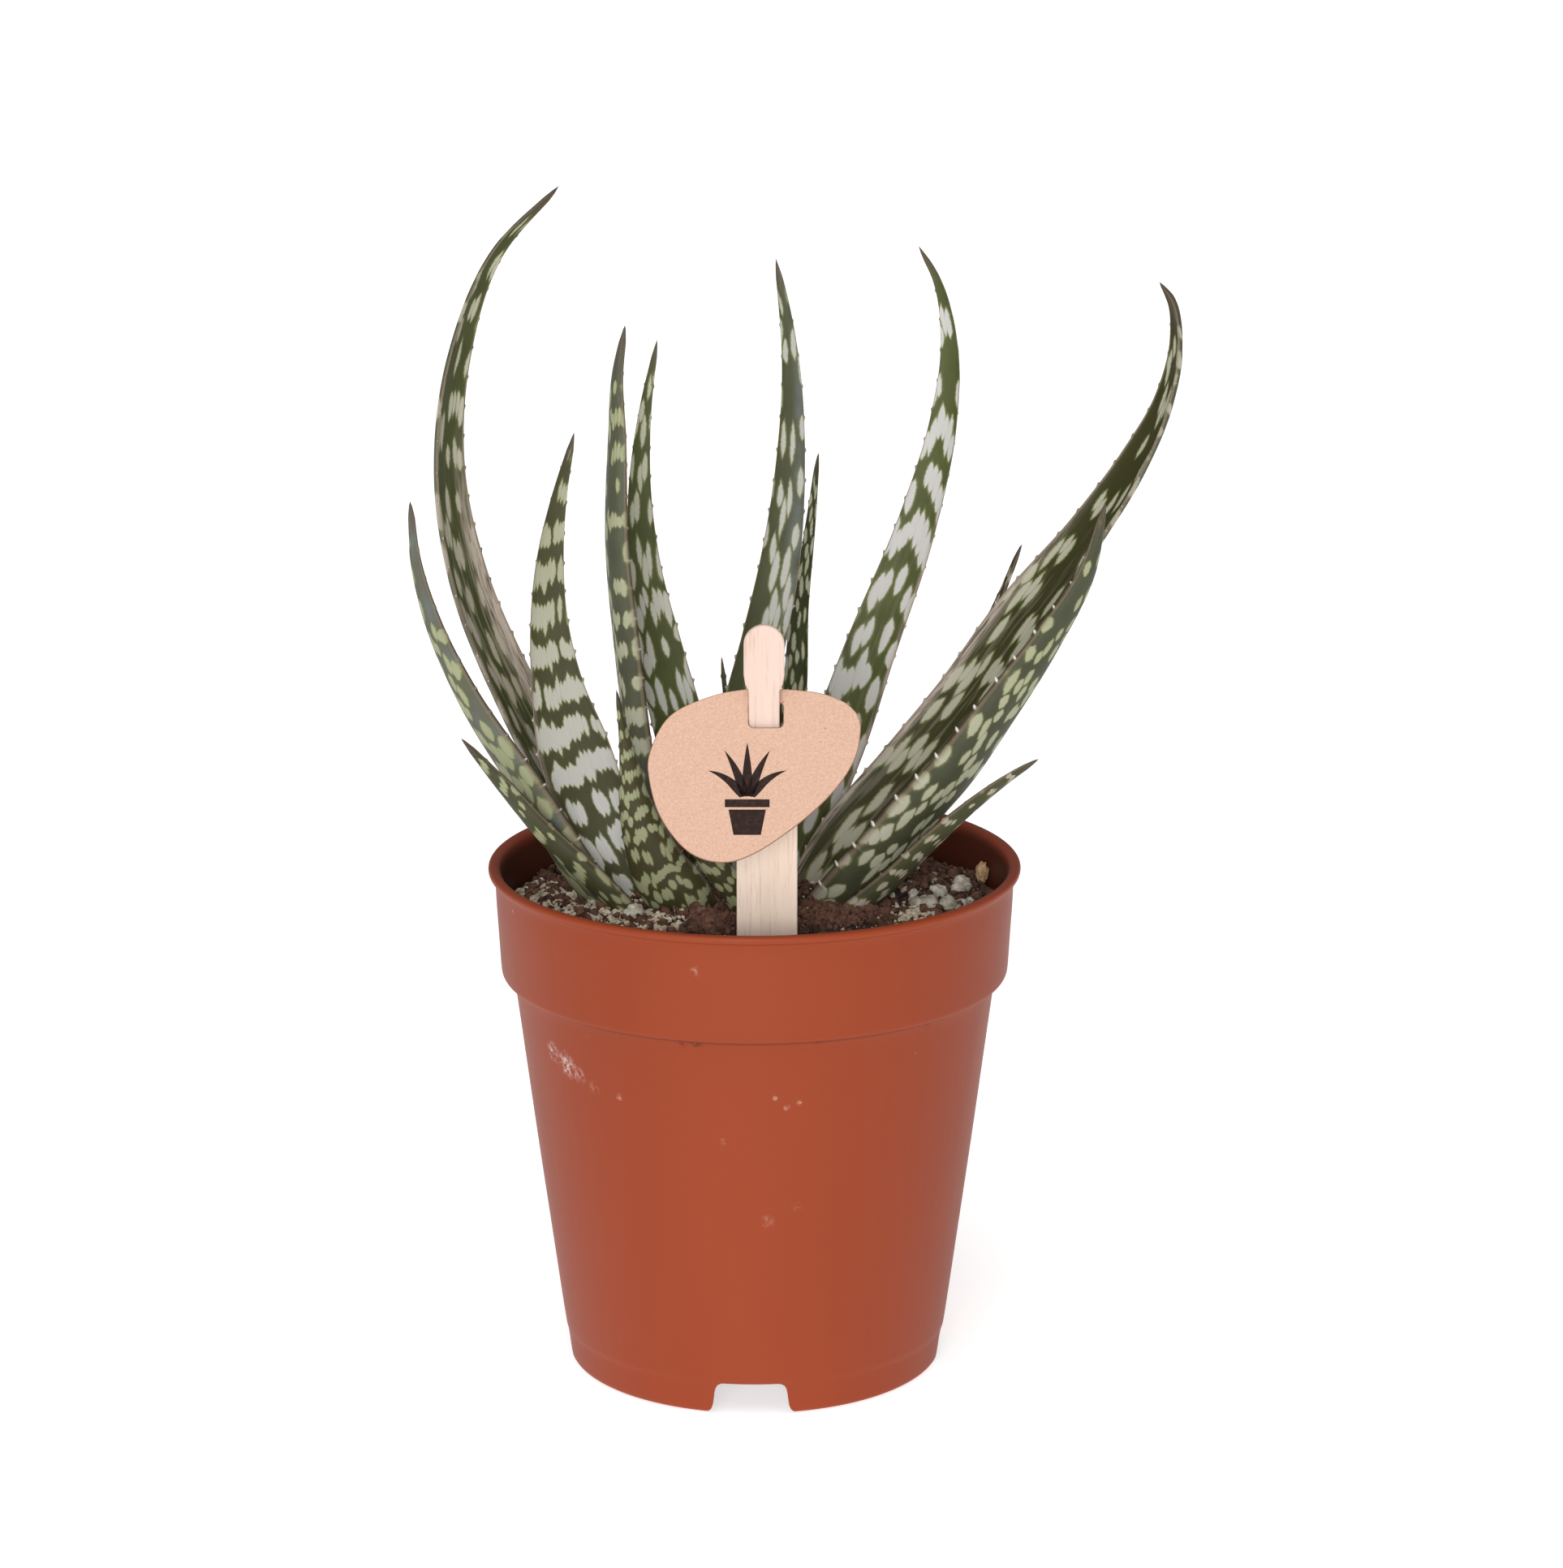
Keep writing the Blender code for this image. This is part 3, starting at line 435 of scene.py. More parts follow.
# Points of the card's outline, across and up from the middle of its slot
CARD_OUTLINE = (
    (0.0, 4.5), (7.9, 3.9), (11.9, 2.6), (13.7, 1.4), (14.9, -0.2), (15.3, -2.6), (14.3, -7.4),
    (11.0, -12.6), (5.4, -18.0), (-1.8, -23.0), (-7.2, -24.5), (-12.6, -22.6), (-17.1, -16.7),
    (-19.0, -9.4), (-18.4, -5.2), (-16.6, -1.4), (-14.2, 0.9), (-10.3, 2.7), (-5.8, 4.0),
)
SLOT_HALF_WIDTH = 2.8
SLOT_HALF_HEIGHT = 2.1
SLOT_ROUND = 0.8
# Print on the card, a plain picture of a plant in a pot: its foot on the card, the pot's and rim's half
# widths and heights, then each leaf's lean from upright at its root and tip, its length and its width
PRINT_FOOT = (-3.0, -20.0)
PRINT_POT = ((2.2, 0.0), (3.0, 4.2))
PRINT_RIM = ((3.6, 4.6), (3.6, 5.9))
PRINT_LEAVES = (
    (0.0, 0.0, 9.0, 1.9), (14.0, 34.0, 8.4, 1.7), (-14.0, -34.0, 8.4, 1.7), (30.0, 78.0, 7.2, 1.6),
    (-30.0, -78.0, 7.2, 1.6),
)
PRINT_LEAF_ROOT = 6.4
PRINT_STEPS = 14
INK_THICKNESS = 0.03

# Kinds of node, and settings that many nodes share
MATH, MIX, RANGE, NOISE = "ShaderNodeMath", "ShaderNodeMix", "ShaderNodeMapRange", "ShaderNodeTexNoise"
COMBINE, SEPARATE, VECTOR_MATH = "ShaderNodeCombineXYZ", "ShaderNodeSeparateXYZ", "ShaderNodeVectorMath"
VORONOI, RANDOM, SHADING = "ShaderNodeTexVoronoi", "ShaderNodeTexWhiteNoise", "ShaderNodeHueSaturation"
COORDINATES, GEOMETRY = "ShaderNodeTexCoord", "ShaderNodeNewGeometry"
ATTRIBUTE, BUMP = "ShaderNodeAttribute", "ShaderNodeBump"
ADD, SUBTRACT = {"operation": "ADD"}, {"operation": "SUBTRACT"}
MULTIPLY, DIVIDE = {"operation": "MULTIPLY"}, {"operation": "DIVIDE"}
MULTIPLY_ADD, POWER = {"operation": "MULTIPLY_ADD"}, {"operation": "POWER"}
ABSOLUTE, FLOOR = {"operation": "ABSOLUTE"}, {"operation": "FLOOR"}
LESS_THAN, GREATER_THAN = {"operation": "LESS_THAN"}, {"operation": "GREATER_THAN"}
DOT, DISTANCE = {"operation": "DOT_PRODUCT"}, {"operation": "DISTANCE"}
SMOOTH, COLOURS = {"interpolation_type": "SMOOTHSTEP"}, {"data_type": "RGBA"}


# Colours and nodes

def linear(code):
    """An sRGB hex value as linear red, green and blue."""
    parts = [int(code[i:i + 2], 16) / 255.0 for i in (1, 3, 5)]
    return tuple(c / 12.92 if c <= 0.04045 else ((c + 0.055) / 1.055) ** 2.4 for c in parts)


def rgba(code):
    """The same with full opacity, as colour sockets want it."""
    return (*linear(code), 1.0)


def feed(tree, fed, inputs):
    """Set a node's inputs, each to a value, to a socket, or to another node's first output."""
    for name, value in inputs.items():
        named = [socket for socket in fed.inputs if socket.enabled and socket.name == name]
        socket = named[0] if named else fed.inputs[name]
        if isinstance(value, bpy.types.Node):
            value = next(output for output in value.outputs if output.enabled)
        if isinstance(value, bpy.types.NodeSocket):
            tree.links.new(value, socket)
        else:
            socket.default_value = value


def node(tree, kind, settings=None, inputs=None):
    """Add a node with its settings and its links."""
    made = tree.nodes.new(kind)
    for name, value in (settings or {}).items():
        setattr(made, name, value)
    feed(tree, made, inputs or {})
    return made


def limits(low, high, least=0.0, most=1.0):
    """What a range runs from and to."""
    return {"From Min": low, "From Max": high, "To Min": least, "To Max": most}


def new_material(name, **constants):
    """A material with a Principled shader whose constant sockets are set by name."""
    made = bpy.data.materials.new(name)
    made.use_nodes = True
    shader = made.node_tree.nodes["Principled BSDF"]
    for key, value in constants.items():
        shader.inputs[key.replace("_", " ").title().replace("Ior", "IOR")].default_value = value
    return made, made.node_tree, shader


def layered(tree, base, layers):
    """Lay colours over a base one after another, each by its own share."""
    for share, colour in layers:
        base = node(tree, MIX, COLOURS, {0: share, 6: base, 7: colour}).outputs[2]
    return base


# Leaf skin

def skin_facts(tree):
    """What the mesh holds for each point of a leaf."""
    place = node(tree, ATTRIBUTE, {"attribute_name": "leaf_place"}).outputs["Vector"]
    facts = node(tree, ATTRIBUTE, {"attribute_name": "leaf_facts"}).outputs["Vector"]
    across, along, signed_edge = node(tree, SEPARATE, None, {0: place}).outputs
    inner, share, tooth = node(tree, SEPARATE, None, {0: facts}).outputs
    edge = node(tree, MATH, ABSOLUTE, {0: signed_edge})
    return Skin(place, across, along, signed_edge, edge, inner, share, tooth)


def column_place(tree, across, sizes, shift):
    """The column that a point lies in, and how far across the column it is."""
    columns = node(tree, MATH, DIVIDE, {0: across, 1: sizes["column"]})
    placed = node(tree, MATH, ADD, {0: columns, 1: shift})
    column = node(tree, MATH, FLOOR, {0: placed})
    return column, node(tree, MATH, SUBTRACT, {0: placed, 1: column})


def row_place(tree, along, sizes, column, seed):
    """The row that a point lies in, and how far up the row it is; each column has its own start."""
    key = node(tree, MATH, ADD, {0: column, 1: seed})
    draw = node(tree, RANDOM, {"noise_dimensions": "1D"}, {"W": key})
    rows = node(tree, MATH, DIVIDE, {0: along, 1: sizes["pitch"]})
    moved = node(tree, MATH, MULTIPLY_ADD, {0: draw.outputs["Value"], 1: sizes["stagger"], 2: rows})
    row = node(tree, MATH, FLOOR, {0: moved})
    return row, node(tree, MATH, SUBTRACT, {0: moved, 1: row})


def oval_draws(tree, column, row, seed):
    """An oval's chance to stand at its place, which is higher inside a cluster, and its own stretch."""
    cell = node(tree, COMBINE, None, {0: column, 1: row, 2: seed})
    own = node(tree, RANDOM, {"noise_dimensions": "3D"}, {"Vector": cell})
    own = node(tree, SEPARATE, None, {0: own.outputs["Color"]})
    spread = node(tree, VECTOR_MATH, MULTIPLY, {0: cell, 1: CLUSTER_SHAPE})
    cluster = node(tree, NOISE, None, {"Vector": spread, "Scale": 1.0, "Detail": 0.0})
    chance = node(tree, MATH, MULTIPLY_ADD, {0: own.outputs[2], 1: OWN_CHANCE, 2: cluster})
    chance = node(tree, MATH, SUBTRACT, {0: chance, 1: CHANCE_SHIFT})
    stretch = node(tree, RANGE, None, {"Value": own.outputs[0], **limits(0.0, 1.0, *OVAL_LENGTHS)})
    return chance, stretch


def oval_depth(tree, across, along, sizes, shift, seed):
    """How deep a point lies in pointed ovals that stand in columns, in shares of a column's width."""
    column, aside = column_place(tree, across, sizes, shift)
    row, ahead = row_place(tree, along, sizes, column, seed)
    chance, stretch = oval_draws(tree, column, row, seed)
    bare = node(tree, MATH, LESS_THAN, {0: chance, 1: sizes["bare"]})
    half_length = node(tree, MATH, MULTIPLY, {0: stretch, 1: sizes["length"]})
    fullness = node(tree, RANGE, None, {"Value": chance, **limits(0.4, 0.7, *OVAL_WIDTHS)})
    half_width = node(tree, MATH, MULTIPLY, {0: fullness, 1: sizes["width"]})
    middle = node(tree, MATH, SUBTRACT, {0: ahead, 1: 0.5})
    reach = node(tree, MATH, DIVIDE, {0: middle, 1: half_length})
    reach = node(tree, MATH, ABSOLUTE, {0: reach})
    bow = node(tree, MATH, POWER, {0: reach, 1: OVAL_BOW})
    lens = node(tree, MATH, SUBTRACT, {0: 1.0, 1: bow})
    off = node(tree, MATH, SUBTRACT, {0: aside, 1: 0.5})
    off = node(tree, MATH, ABSOLUTE, {0: off})
    inside = node(tree, MATH, MULTIPLY, {0: half_width, 1: lens})
    inside = node(tree, MATH, SUBTRACT, {0: inside, 1: off})
    return node(tree, MATH, MULTIPLY_ADD, {0: bare, 1: -2.0, 2: inside})


def oval_sizes(tree, skin, marks):
    """Sizes of the ovals on either face; towards the tip columns draw together and more places are bare."""
    sizes = {}
    for key in Face._fields:
        outer, inner = getattr(marks.outer, key), getattr(marks.inner, key)
        sizes[key] = node(tree, RANGE, None, {"Value": skin.inner, **limits(0.0, 1.0, outer, inner)})
    taper = node(tree, RANGE, None, {"Value": skin.share, **limits(0.0, 1.0, 1.05, 0.55)})
    slimmer = node(tree, RANGE, None, {"Value": skin.share, **limits(0.3, 0.9, 1.0, 0.82)})
    for key, factor in (("column", taper), ("width", slimmer), ("length", slimmer)):
        sizes[key] = node(tree, MATH, MULTIPLY, {0: sizes[key], 1: factor})
    thinning = node(tree, RANGE, None, {"Value": skin.share, **limits(0.45, 0.80, 0.0, 0.035)})
    sizes["bare"] = node(tree, MATH, ADD, {0: sizes["bare"], 1: thinning})
    return sizes


def warped_place(tree, skin):
    """The place on the blade, bent by a slow warp against straight rows and a fine one for ragged edges."""
    across, along = skin.across, skin.along
    for scale, across_reach, along_reach in WARPS:
        warp = node(tree, NOISE, None, {"Vector": skin.place, "Scale": scale, "Detail": 1.0})
        warp = node(tree, SEPARATE, None, {0: warp.outputs["Color"]})
        across = node(tree, MATH, MULTIPLY_ADD, {0: warp.outputs[0], 1: across_reach, 2: across})
        along = node(tree, MATH, MULTIPLY_ADD, {0: warp.outputs[1], 1: along_reach, 2: along})
    return across, along


def spot_depth(tree, skin, marks, number):
    """Depth in two sets of ovals, half a column apart; each face starts its own count of columns."""
    sizes = oval_sizes(tree, skin, marks)
    across, along = warped_place(tree, skin)
    depths = []
    for shift in (0.0, 0.5):
        start = node(tree, MATH, MULTIPLY_ADD, {0: skin.inner, 1: 19.0, 2: shift})
        depths.append(oval_depth(tree, across, along, sizes, start, 7.0 * number + 50.0 * shift))
    depth = node(tree, MATH, {"operation": "SMOOTH_MAX"}, {0: depths[0], 1: depths[1], 2: OVAL_MERGE})
    fade = node(tree, RANGE, None, {"Value": skin.share, **limits(0.92, 0.99, 0.0, 0.5)})
    return node(tree, MATH, SUBTRACT, {0: depth, 1: fade})


def leaf_ground(tree, skin, marks):
    """The green of each face, clouded, with a bluish painted sheen on one side."""
    cloud = node(tree, NOISE, None, {"Vector": skin.place, "Scale": 0.14, "Detail": 3.0})
    cloud = node(tree, RANGE, SMOOTH, {"Value": cloud, **limits(0.3, 0.7)})
    green = node(tree, MIX, COLOURS, {0: skin.inner, 6: rgba(marks.outer_green), 7: rgba(marks.green)})
    green = green.outputs[2]
    darker = node(tree, SHADING, None, {"Saturation": 1.1, "Value": 0.62, "Color": green})
    dusk = node(tree, MATH, MULTIPLY, {0: cloud, 1: 0.5})
    # Painted sheen: a bluish tint laid along one side of the leaf, clouded
    start, end = -0.1 * marks.bloom_side, 0.7 * marks.bloom_side or 1.0
    most = 0.65 * abs(marks.bloom_side)
    bloom = node(tree, RANGE, SMOOTH, {"Value": skin.signed_edge, **limits(start, end, 0.0, most)})
    bloom = node(tree, MATH, MULTIPLY, {0: bloom, 1: cloud})
    return layered(tree, green, [(dusk, darker), (bloom, rgba(SKIN_TINTS["bloom"]))])


def spot_layers(tree, skin, marks, halo, oval, heart):
    """Spots: a lighter ring, a cream edge and a paler heart."""
    height = node(tree, RANGE, None, {"Value": skin.share, **limits(0.3, 0.75)})
    spot = node(tree, MIX, COLOURS, {0: height, 6: rgba(marks.spot_low), 7: rgba(marks.spot_high)})
    cream = node(tree, MIX, COLOURS, {0: heart, 6: rgba(SKIN_TINTS["cream"]), 7: spot.outputs[2]})
    ring = node(tree, MATH, MULTIPLY, {0: halo, 1: 0.45})
    return [(ring, rgba(SKIN_TINTS["ring"])), (oval, cream.outputs[2])]


def dry_streaks(tree, skin, lines_place, low_down, most):
    """Long dry streaks on the lower part of the inner face."""
    streak = node(tree, NOISE, None, {"Vector": lines_place, "Scale": 1.1, "Detail": 2.0, "Roughness": 0.6})
    streak = node(tree, RANGE, SMOOTH, {"Value": streak, **limits(0.50, 0.60, 0.0, most)})
    streak = node(tree, MATH, MULTIPLY, {0: streak, 1: skin.inner})
    return node(tree, MATH, MULTIPLY, {0: streak, 1: low_down})


def pale_margin(tree, skin, marks, lines, low_down):
    """The pale margin on one side, lined along the leaf."""
    margin = node(tree, RANGE, SMOOTH,
                  {"Value": skin.edge, **limits(marks.pale_from - 0.1, marks.pale_from + 0.15)})
    which = node(tree, MATH, MULTIPLY, {0: skin.signed_edge, 1: float(marks.pale_side)})
    which = node(tree, MATH, GREATER_THAN, {0: which, 1: 0.0})
    striped = node(tree, RANGE, None, {"Value": lines, **limits(0.38, 0.58, 0.15)})
    for factor in (which, striped, low_down):
        margin = node(tree, MATH, MULTIPLY, {0: margin, 1: factor})
    return margin


def edge_layers(tree, skin):
    """A dry rim along the margins, a dried tip and horny teeth."""
    edges = ((skin.edge, 0.93, 1.0, 0.6, "rim"), (skin.share, 0.92, 1.0, 0.8, "dry_tip"),
             (skin.tooth, 0.12, 0.40, 1.0, "horn"))
    layers = []
    for value, low, high, most, tint in edges:
        share = node(tree, RANGE, SMOOTH, {"Value": value, **limits(low, high, 0.0, most)})
        layers.append((share, rgba(SKIN_TINTS[tint])))
    return layers


def skin_relief(tree, skin, oval):
    """Roughness and bump of fine long cells; the spots stand a little proud."""
    cells_place = node(tree, VECTOR_MATH, MULTIPLY, {0: skin.place, 1: (1.0, 0.3, 1.0)})
    cells = node(tree, NOISE, None, {"Vector": cells_place, "Scale": 5.0, "Detail": 3.0})
    gloss = node(tree, RANGE, None, {"Value": cells, **limits(0.0, 1.0, 0.42, 0.62)})
    relief = node(tree, MATH, MULTIPLY_ADD, {0: oval, 1: 0.35, 2: cells})
    return gloss, node(tree, BUMP, None, {"Height": relief, "Strength": 0.2, "Distance": 0.2 * MM})


def aloe_skin(name, marks, number):
    """Aloe leaf, grown: a matt waxy green skin whose pale pointed ovals run together in ragged bands."""
    made, tree, shader = new_material(name, ior=1.45, specular_ior_level=0.3)
    skin = skin_facts(tree)
    # Fine lines run along the leaf; streaks and the pale margin end higher up
    lines_place = node(tree, VECTOR_MATH, MULTIPLY, {0: skin.place, 1: (1.0, 0.05, 0.0)})
    lines = node(tree, NOISE, None, {"Vector": lines_place, "Scale": 3.2, "Detail": 2.0, "Roughness": 0.6})
    low_down = node(tree, RANGE, SMOOTH, {"Value": skin.share, **limits(0.44, 0.72, 1.0, 0.0)})
    depth = spot_depth(tree, skin, marks, number)
    halo, oval, heart = (node(tree, RANGE, SMOOTH, {"Value": depth, **limits(low, high)})
                         for low, high in SPOT_EDGES)
    streaks = dry_streaks(tree, skin, lines_place, low_down, marks.streaks)
    margin = pale_margin(tree, skin, marks, lines, low_down)
    layers = spot_layers(tree, skin, marks, halo, oval, heart)
    layers += [(streaks, rgba(SKIN_TINTS["streak"])), (margin, rgba(SKIN_TINTS["margin"]))]
    colour = layered(tree, leaf_ground(tree, skin, marks), [*layers, *edge_layers(tree, skin)])
    shade = node(tree, RANGE, None, {"Value": lines, **limits(0.3, 0.7, 0.96, 1.03)})
    toned = node(tree, SHADING, None, {"Value": shade, "Color": colour})
    gloss, bump = skin_relief(tree, skin, oval)
    feed(tree, shader, {"Base Color": toned, "Roughness": gloss, "Normal": bump})
    return made


# Other materials

def shaded(colour, shares):
    """A colour with each channel cut to its share, as colour sockets want it."""
    return (*(channel * share for channel, share in zip(colour, shares)), 1.0)


def specks(tree, spot, scale, channel, bare, size, blur, most):
    """Sparse round specks: share of cells left bare, largest size, the edge's blur and the strength."""
    cells = node(tree, VORONOI, {"feature": "F1"}, {"Vector": spot, "Scale": scale})
    own = node(tree, SEPARATE, None, {0: cells.outputs["Color"]})
    radius = node(tree, RANGE, None, {"Value": own.outputs[channel], "From Min": bare, "To Max": size})
    depth = node(tree, MATH, SUBTRACT, {0: radius, 1: cells.outputs["Distance"]})
    low, high = blur
    return node(tree, RANGE, None, {"Value": depth, **limits(low, high, 0.0, most)})


def on_pot(direction, height):
    """A point on the pot's outside in the frame, from its compass direction and height."""
    radius = np.interp(height, [z for _, z in POT_OUTSIDE], [r for r, _ in POT_OUTSIDE])
    turn = math.radians(direction)
    return AXIS + Vector((radius * math.cos(turn), radius * math.sin(turn), height)) * MM


def pot_wear(tree, spot):
    """Chalk, nicks and dirt, each in its own place and broken up by grit."""
    grit = node(tree, NOISE, None, {"Vector": spot, "Scale": 1100.0, "Detail": 4.0, "Roughness": 0.7})
    grit = node(tree, RANGE, None, {"Value": grit, **limits(0.46, 0.60)})
    layers = []
    for direction, height, radius, strength, tint in WEAR:
        far = node(tree, VECTOR_MATH, DISTANCE, {0: spot, 1: on_pot(direction, height)})
        far = far.outputs["Value"]
        near = node(tree, RANGE, SMOOTH, {"Value": far, **limits(0.0, radius * MM, strength, 0.0)})
        layers.append((node(tree, MATH, MULTIPLY, {0: near, 1: grit}), rgba(tint)))
    return layers


def painted_inner_shade(tree, centred, level, flow):
    """Painted shade on the inside wall below the lip, with a ragged top edge."""
    outward = node(tree, VECTOR_MATH, MULTIPLY, {0: centred, 1: (1.0, 1.0, 0.0)})
    normal = node(tree, GEOMETRY).outputs["Normal"]
    facing = node(tree, VECTOR_MATH, DOT, {0: outward, 1: normal})
    inside = node(tree, MATH, LESS_THAN, {0: facing.outputs["Value"], 1: 0.0})
    ragged = node(tree, MATH, MULTIPLY_ADD, {0: flow, 1: 3.0 * MM, 2: level})
    low, high = INNER_SHADE_FADE
    film = node(tree, RANGE, SMOOTH, {"Value": ragged, **limits(low * MM, high * MM, 0.82, 0.0)})
    return node(tree, MATH, MULTIPLY, {0: film, 1: inside})


def painted_step_shade(tree, level):
    """A thin line of painted shade right under the collar's step."""
    low, high = STEP_PAINTED_SHADE
    below = node(tree, RANGE, SMOOTH, {"Value": level, **limits(low * MM, high * MM, 0.0, 0.55)})
    above = node(tree, MATH, LESS_THAN, {0: level, 1: STEP_HEIGHT * MM})
    return node(tree, MATH, MULTIPLY, {0: below, 1: above})


def moulded_polypropylene(colour):
    """Polypropylene, injection moulded: satin red-brown with faint flow marks, dust, nicks and a scuff, and
    with painted shade on the inside wall and under the collar's step.
    """
    made, tree, shader = new_material("moulded_polypropylene", ior=1.49, specular_ior_level=0.25)
    spot = node(tree, COORDINATES).outputs["Object"]
    centred = node(tree, VECTOR_MATH, SUBTRACT, {0: spot, 1: AXIS})
    level = node(tree, SEPARATE, None, {0: centred}).outputs[2]
    flow_place = node(tree, VECTOR_MATH, MULTIPLY, {0: spot, 1: (1.0, 1.0, 0.25)})
    flow = node(tree, NOISE, None, {"Vector": flow_place, "Scale": 45.0, "Detail": 4.0})
    flow_share = node(tree, RANGE, None, {"Value": flow, **limits(0.3, 0.7)})
    darker = shaded(colour, FLOW_SHADE)
    body = node(tree, MIX, COLOURS, {0: flow_share, 6: (*colour, 1.0), 7: darker}).outputs[2]
    dust = specks(tree, spot, scale=260.0, channel=0, bare=0.955, size=0.13, blur=(-0.02, 0.04), most=0.3)
    layers = [(dust, rgba(POT_TINTS["dust"])), *pot_wear(tree, spot)]
    # Painted shade: the inside wall is darker below the lip
    layers.append((painted_inner_shade(tree, centred, level, flow), rgba(POT_TINTS["film"])))
    # Painted shade: a dark line right under the collar's step
    layers.append((painted_step_shade(tree, level), rgba(POT_TINTS["step"])))
    grain = node(tree, NOISE, None, {"Vector": spot, "Scale": 1400.0, "Detail": 2.0})
    gloss = node(tree, RANGE, None, {"Value": flow, **limits(0.0, 1.0, 0.42, 0.58)})
    bump = node(tree, BUMP, None, {"Height": grain, "Strength": 0.1, "Distance": 0.1 * MM})
    feed(tree, shader, {"Base Color": layered(tree, body, layers), "Roughness": gloss, "Normal": bump})
    return made


def grainy(name, dark, light, scale, roughness, relief):
    """A loose or soft natural surface in two shades, with its relief in millimetres."""
    made, tree, shader = new_material(name, roughness=roughness)
    spot = node(tree, COORDINATES).outputs["Object"]
    coarse = node(tree, NOISE, None, {"Vector": spot, "Scale": scale, "Detail": 6.0, "Roughness": 0.7})
    shade = node(tree, RANGE, None, {"Value": coarse, **limits(0.35, 0.65)})
    colour = node(tree, MIX, COLOURS, {0: shade, 6: rgba(dark), 7: rgba(light)}).outputs[2]
    bump = node(tree, BUMP, None, {"Height": coarse, "Strength": 0.7, "Distance": relief * MM})
    feed(tree, shader, {"Base Color": colour, "Normal": bump})
    return made


def sanded_birch(colour):
    """Birch veneer, stamped and tumbled: pale, fine grain lines, and a painted lighter tone below the card
    that makes up for the card's shadow there.
    """
    made, tree, shader = new_material("sanded_birch", roughness=0.62, specular_ior_level=0.3)
    spot = node(tree, COORDINATES).outputs["Object"]
    long_place = node(tree, VECTOR_MATH, MULTIPLY, {0: spot, 1: (1.0, 1.0, 0.06)})
    grain = node(tree, NOISE, None, {"Vector": long_place, "Scale": 2200.0, "Detail": 4.0, "Roughness": 0.65})
    lines = node(tree, RANGE, SMOOTH, {"Value": grain, **limits(0.50, 0.78, 0.0, 0.55)})
    bands = node(tree, NOISE, None, {"Vector": long_place, "Scale": 450.0, "Detail": 2.0})
    bands = node(tree, MATH, MULTIPLY, {0: bands, 1: 0.6})
    level = node(tree, SEPARATE, None, {0: spot}).outputs[2]
    # Painted light: the wood is lighter below the card, to make up for the card's shadow on the stick
    low, high = STICK_PAINTED_LIGHT
    pale = node(tree, RANGE, SMOOTH, {"Value": level, **limits(low * MM, high * MM, 1.0, 0.0)})
    tints = {key: rgba(code) for key, code in BIRCH_TINTS.items()}
    layers = [(pale, tints["pale"]), (bands, tints["band"]), (lines, tints["line"])]
    tone = layered(tree, (*colour, 1.0), layers)
    bump = node(tree, BUMP, None, {"Height": grain, "Strength": 0.25, "Distance": 0.1 * MM})
    feed(tree, shader, {"Base Color": tone, "Normal": bump})
    return made


def kraft_board(colour):
    """Kraft board, pressed from pulp: matt pinkish brown, mottled and flecked, with a darker cut edge."""
    made, tree, shader = new_material("kraft_board", roughness=0.85, specular_ior_level=0.2)
    spot = node(tree, COORDINATES).outputs["Object"]
    pulp = node(tree, NOISE, None, {"Vector": spot, "Scale": 2600.0, "Detail": 5.0, "Roughness": 0.75})
    pulp_share = node(tree, RANGE, None, {"Value": pulp, **limits(0.32, 0.68)})
    darker = shaded(colour, PULP_SHADE)
    base = node(tree, MIX, COLOURS, {0: pulp_share, 6: darker, 7: (*colour, 1.0)}).outputs[2]
    fleck = specks(tree, spot, scale=900.0, channel=1, bare=0.90, size=0.22, blur=(-0.03, 0.05), most=0.5)
    normal = node(tree, GEOMETRY).outputs["Normal"]
    front = (0.0, -math.cos(CARD_LEAN), math.sin(CARD_LEAN))
    facing = node(tree, VECTOR_MATH, DOT, {0: normal, 1: front})
    facing = node(tree, MATH, ABSOLUTE, {0: facing.outputs["Value"]})
    rim = node(tree, RANGE, None, {"Value": facing, **limits(0.6, 0.97, 0.8, 0.0)})
    flecked = layered(tree, base, [(fleck, rgba(KRAFT_TINTS["fleck"])), (rim, rgba(KRAFT_TINTS["rim"]))])
    bump = node(tree, BUMP, None, {"Height": pulp, "Strength": 0.3, "Distance": 0.1 * MM})
    feed(tree, shader, {"Base Color": flecked, "Normal": bump})
    return made


def printing_ink(colour):
    """Screen ink, printed on board: matt dark brown that lets a little of the pulp show."""
    made, tree, shader = new_material("printing_ink", roughness=0.8, specular_ior_level=0.2)
    spot = node(tree, COORDINATES).outputs["Object"]
    pulp = node(tree, NOISE, None, {"Vector": spot, "Scale": 1500.0, "Detail": 4.0})
    worn = node(tree, RANGE, None, {"Value": pulp, **limits(0.45, 0.75, 0.0, 0.5)})
    feed(tree, shader, {"Base Color": layered(tree, (*colour, 1.0), [(worn, rgba(WORN_INK))])})
    return made


def opal_acrylic(colour):
    """Opal acrylic sheet, cast and lit from below: matt white that shows next to no shadow."""
    made, tree, shader = new_material("opal_acrylic", roughness=0.9, specular_ior_level=0.0,
                                      emission_strength=FLOOR_GLOW)
    spot = node(tree, COORDINATES).outputs["Object"]
    wash = node(tree, NOISE, None, {"Vector": spot, "Scale": 2.0})
    feed(tree, shader, {"Base Color": layered(tree, (*colour, 1.0), [(wash, rgba(FLOOR_PALE))])})
    return made


# Meshes

def linked(name, data):
    """A new object in the scene."""
    made = bpy.data.objects.new(name, data)
    bpy.context.scene.collection.objects.link(made)
    return made


def finish_piece(name, mesh, material, replaced=()):
    """Put a mesh in the scene as a piece that rides on the plant's one body."""
    mesh.materials.clear()
    mesh.materials.append(material)
    made = linked(name, mesh)
    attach(made, "root")
    if replaced:
        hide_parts(*replaced)
    return made


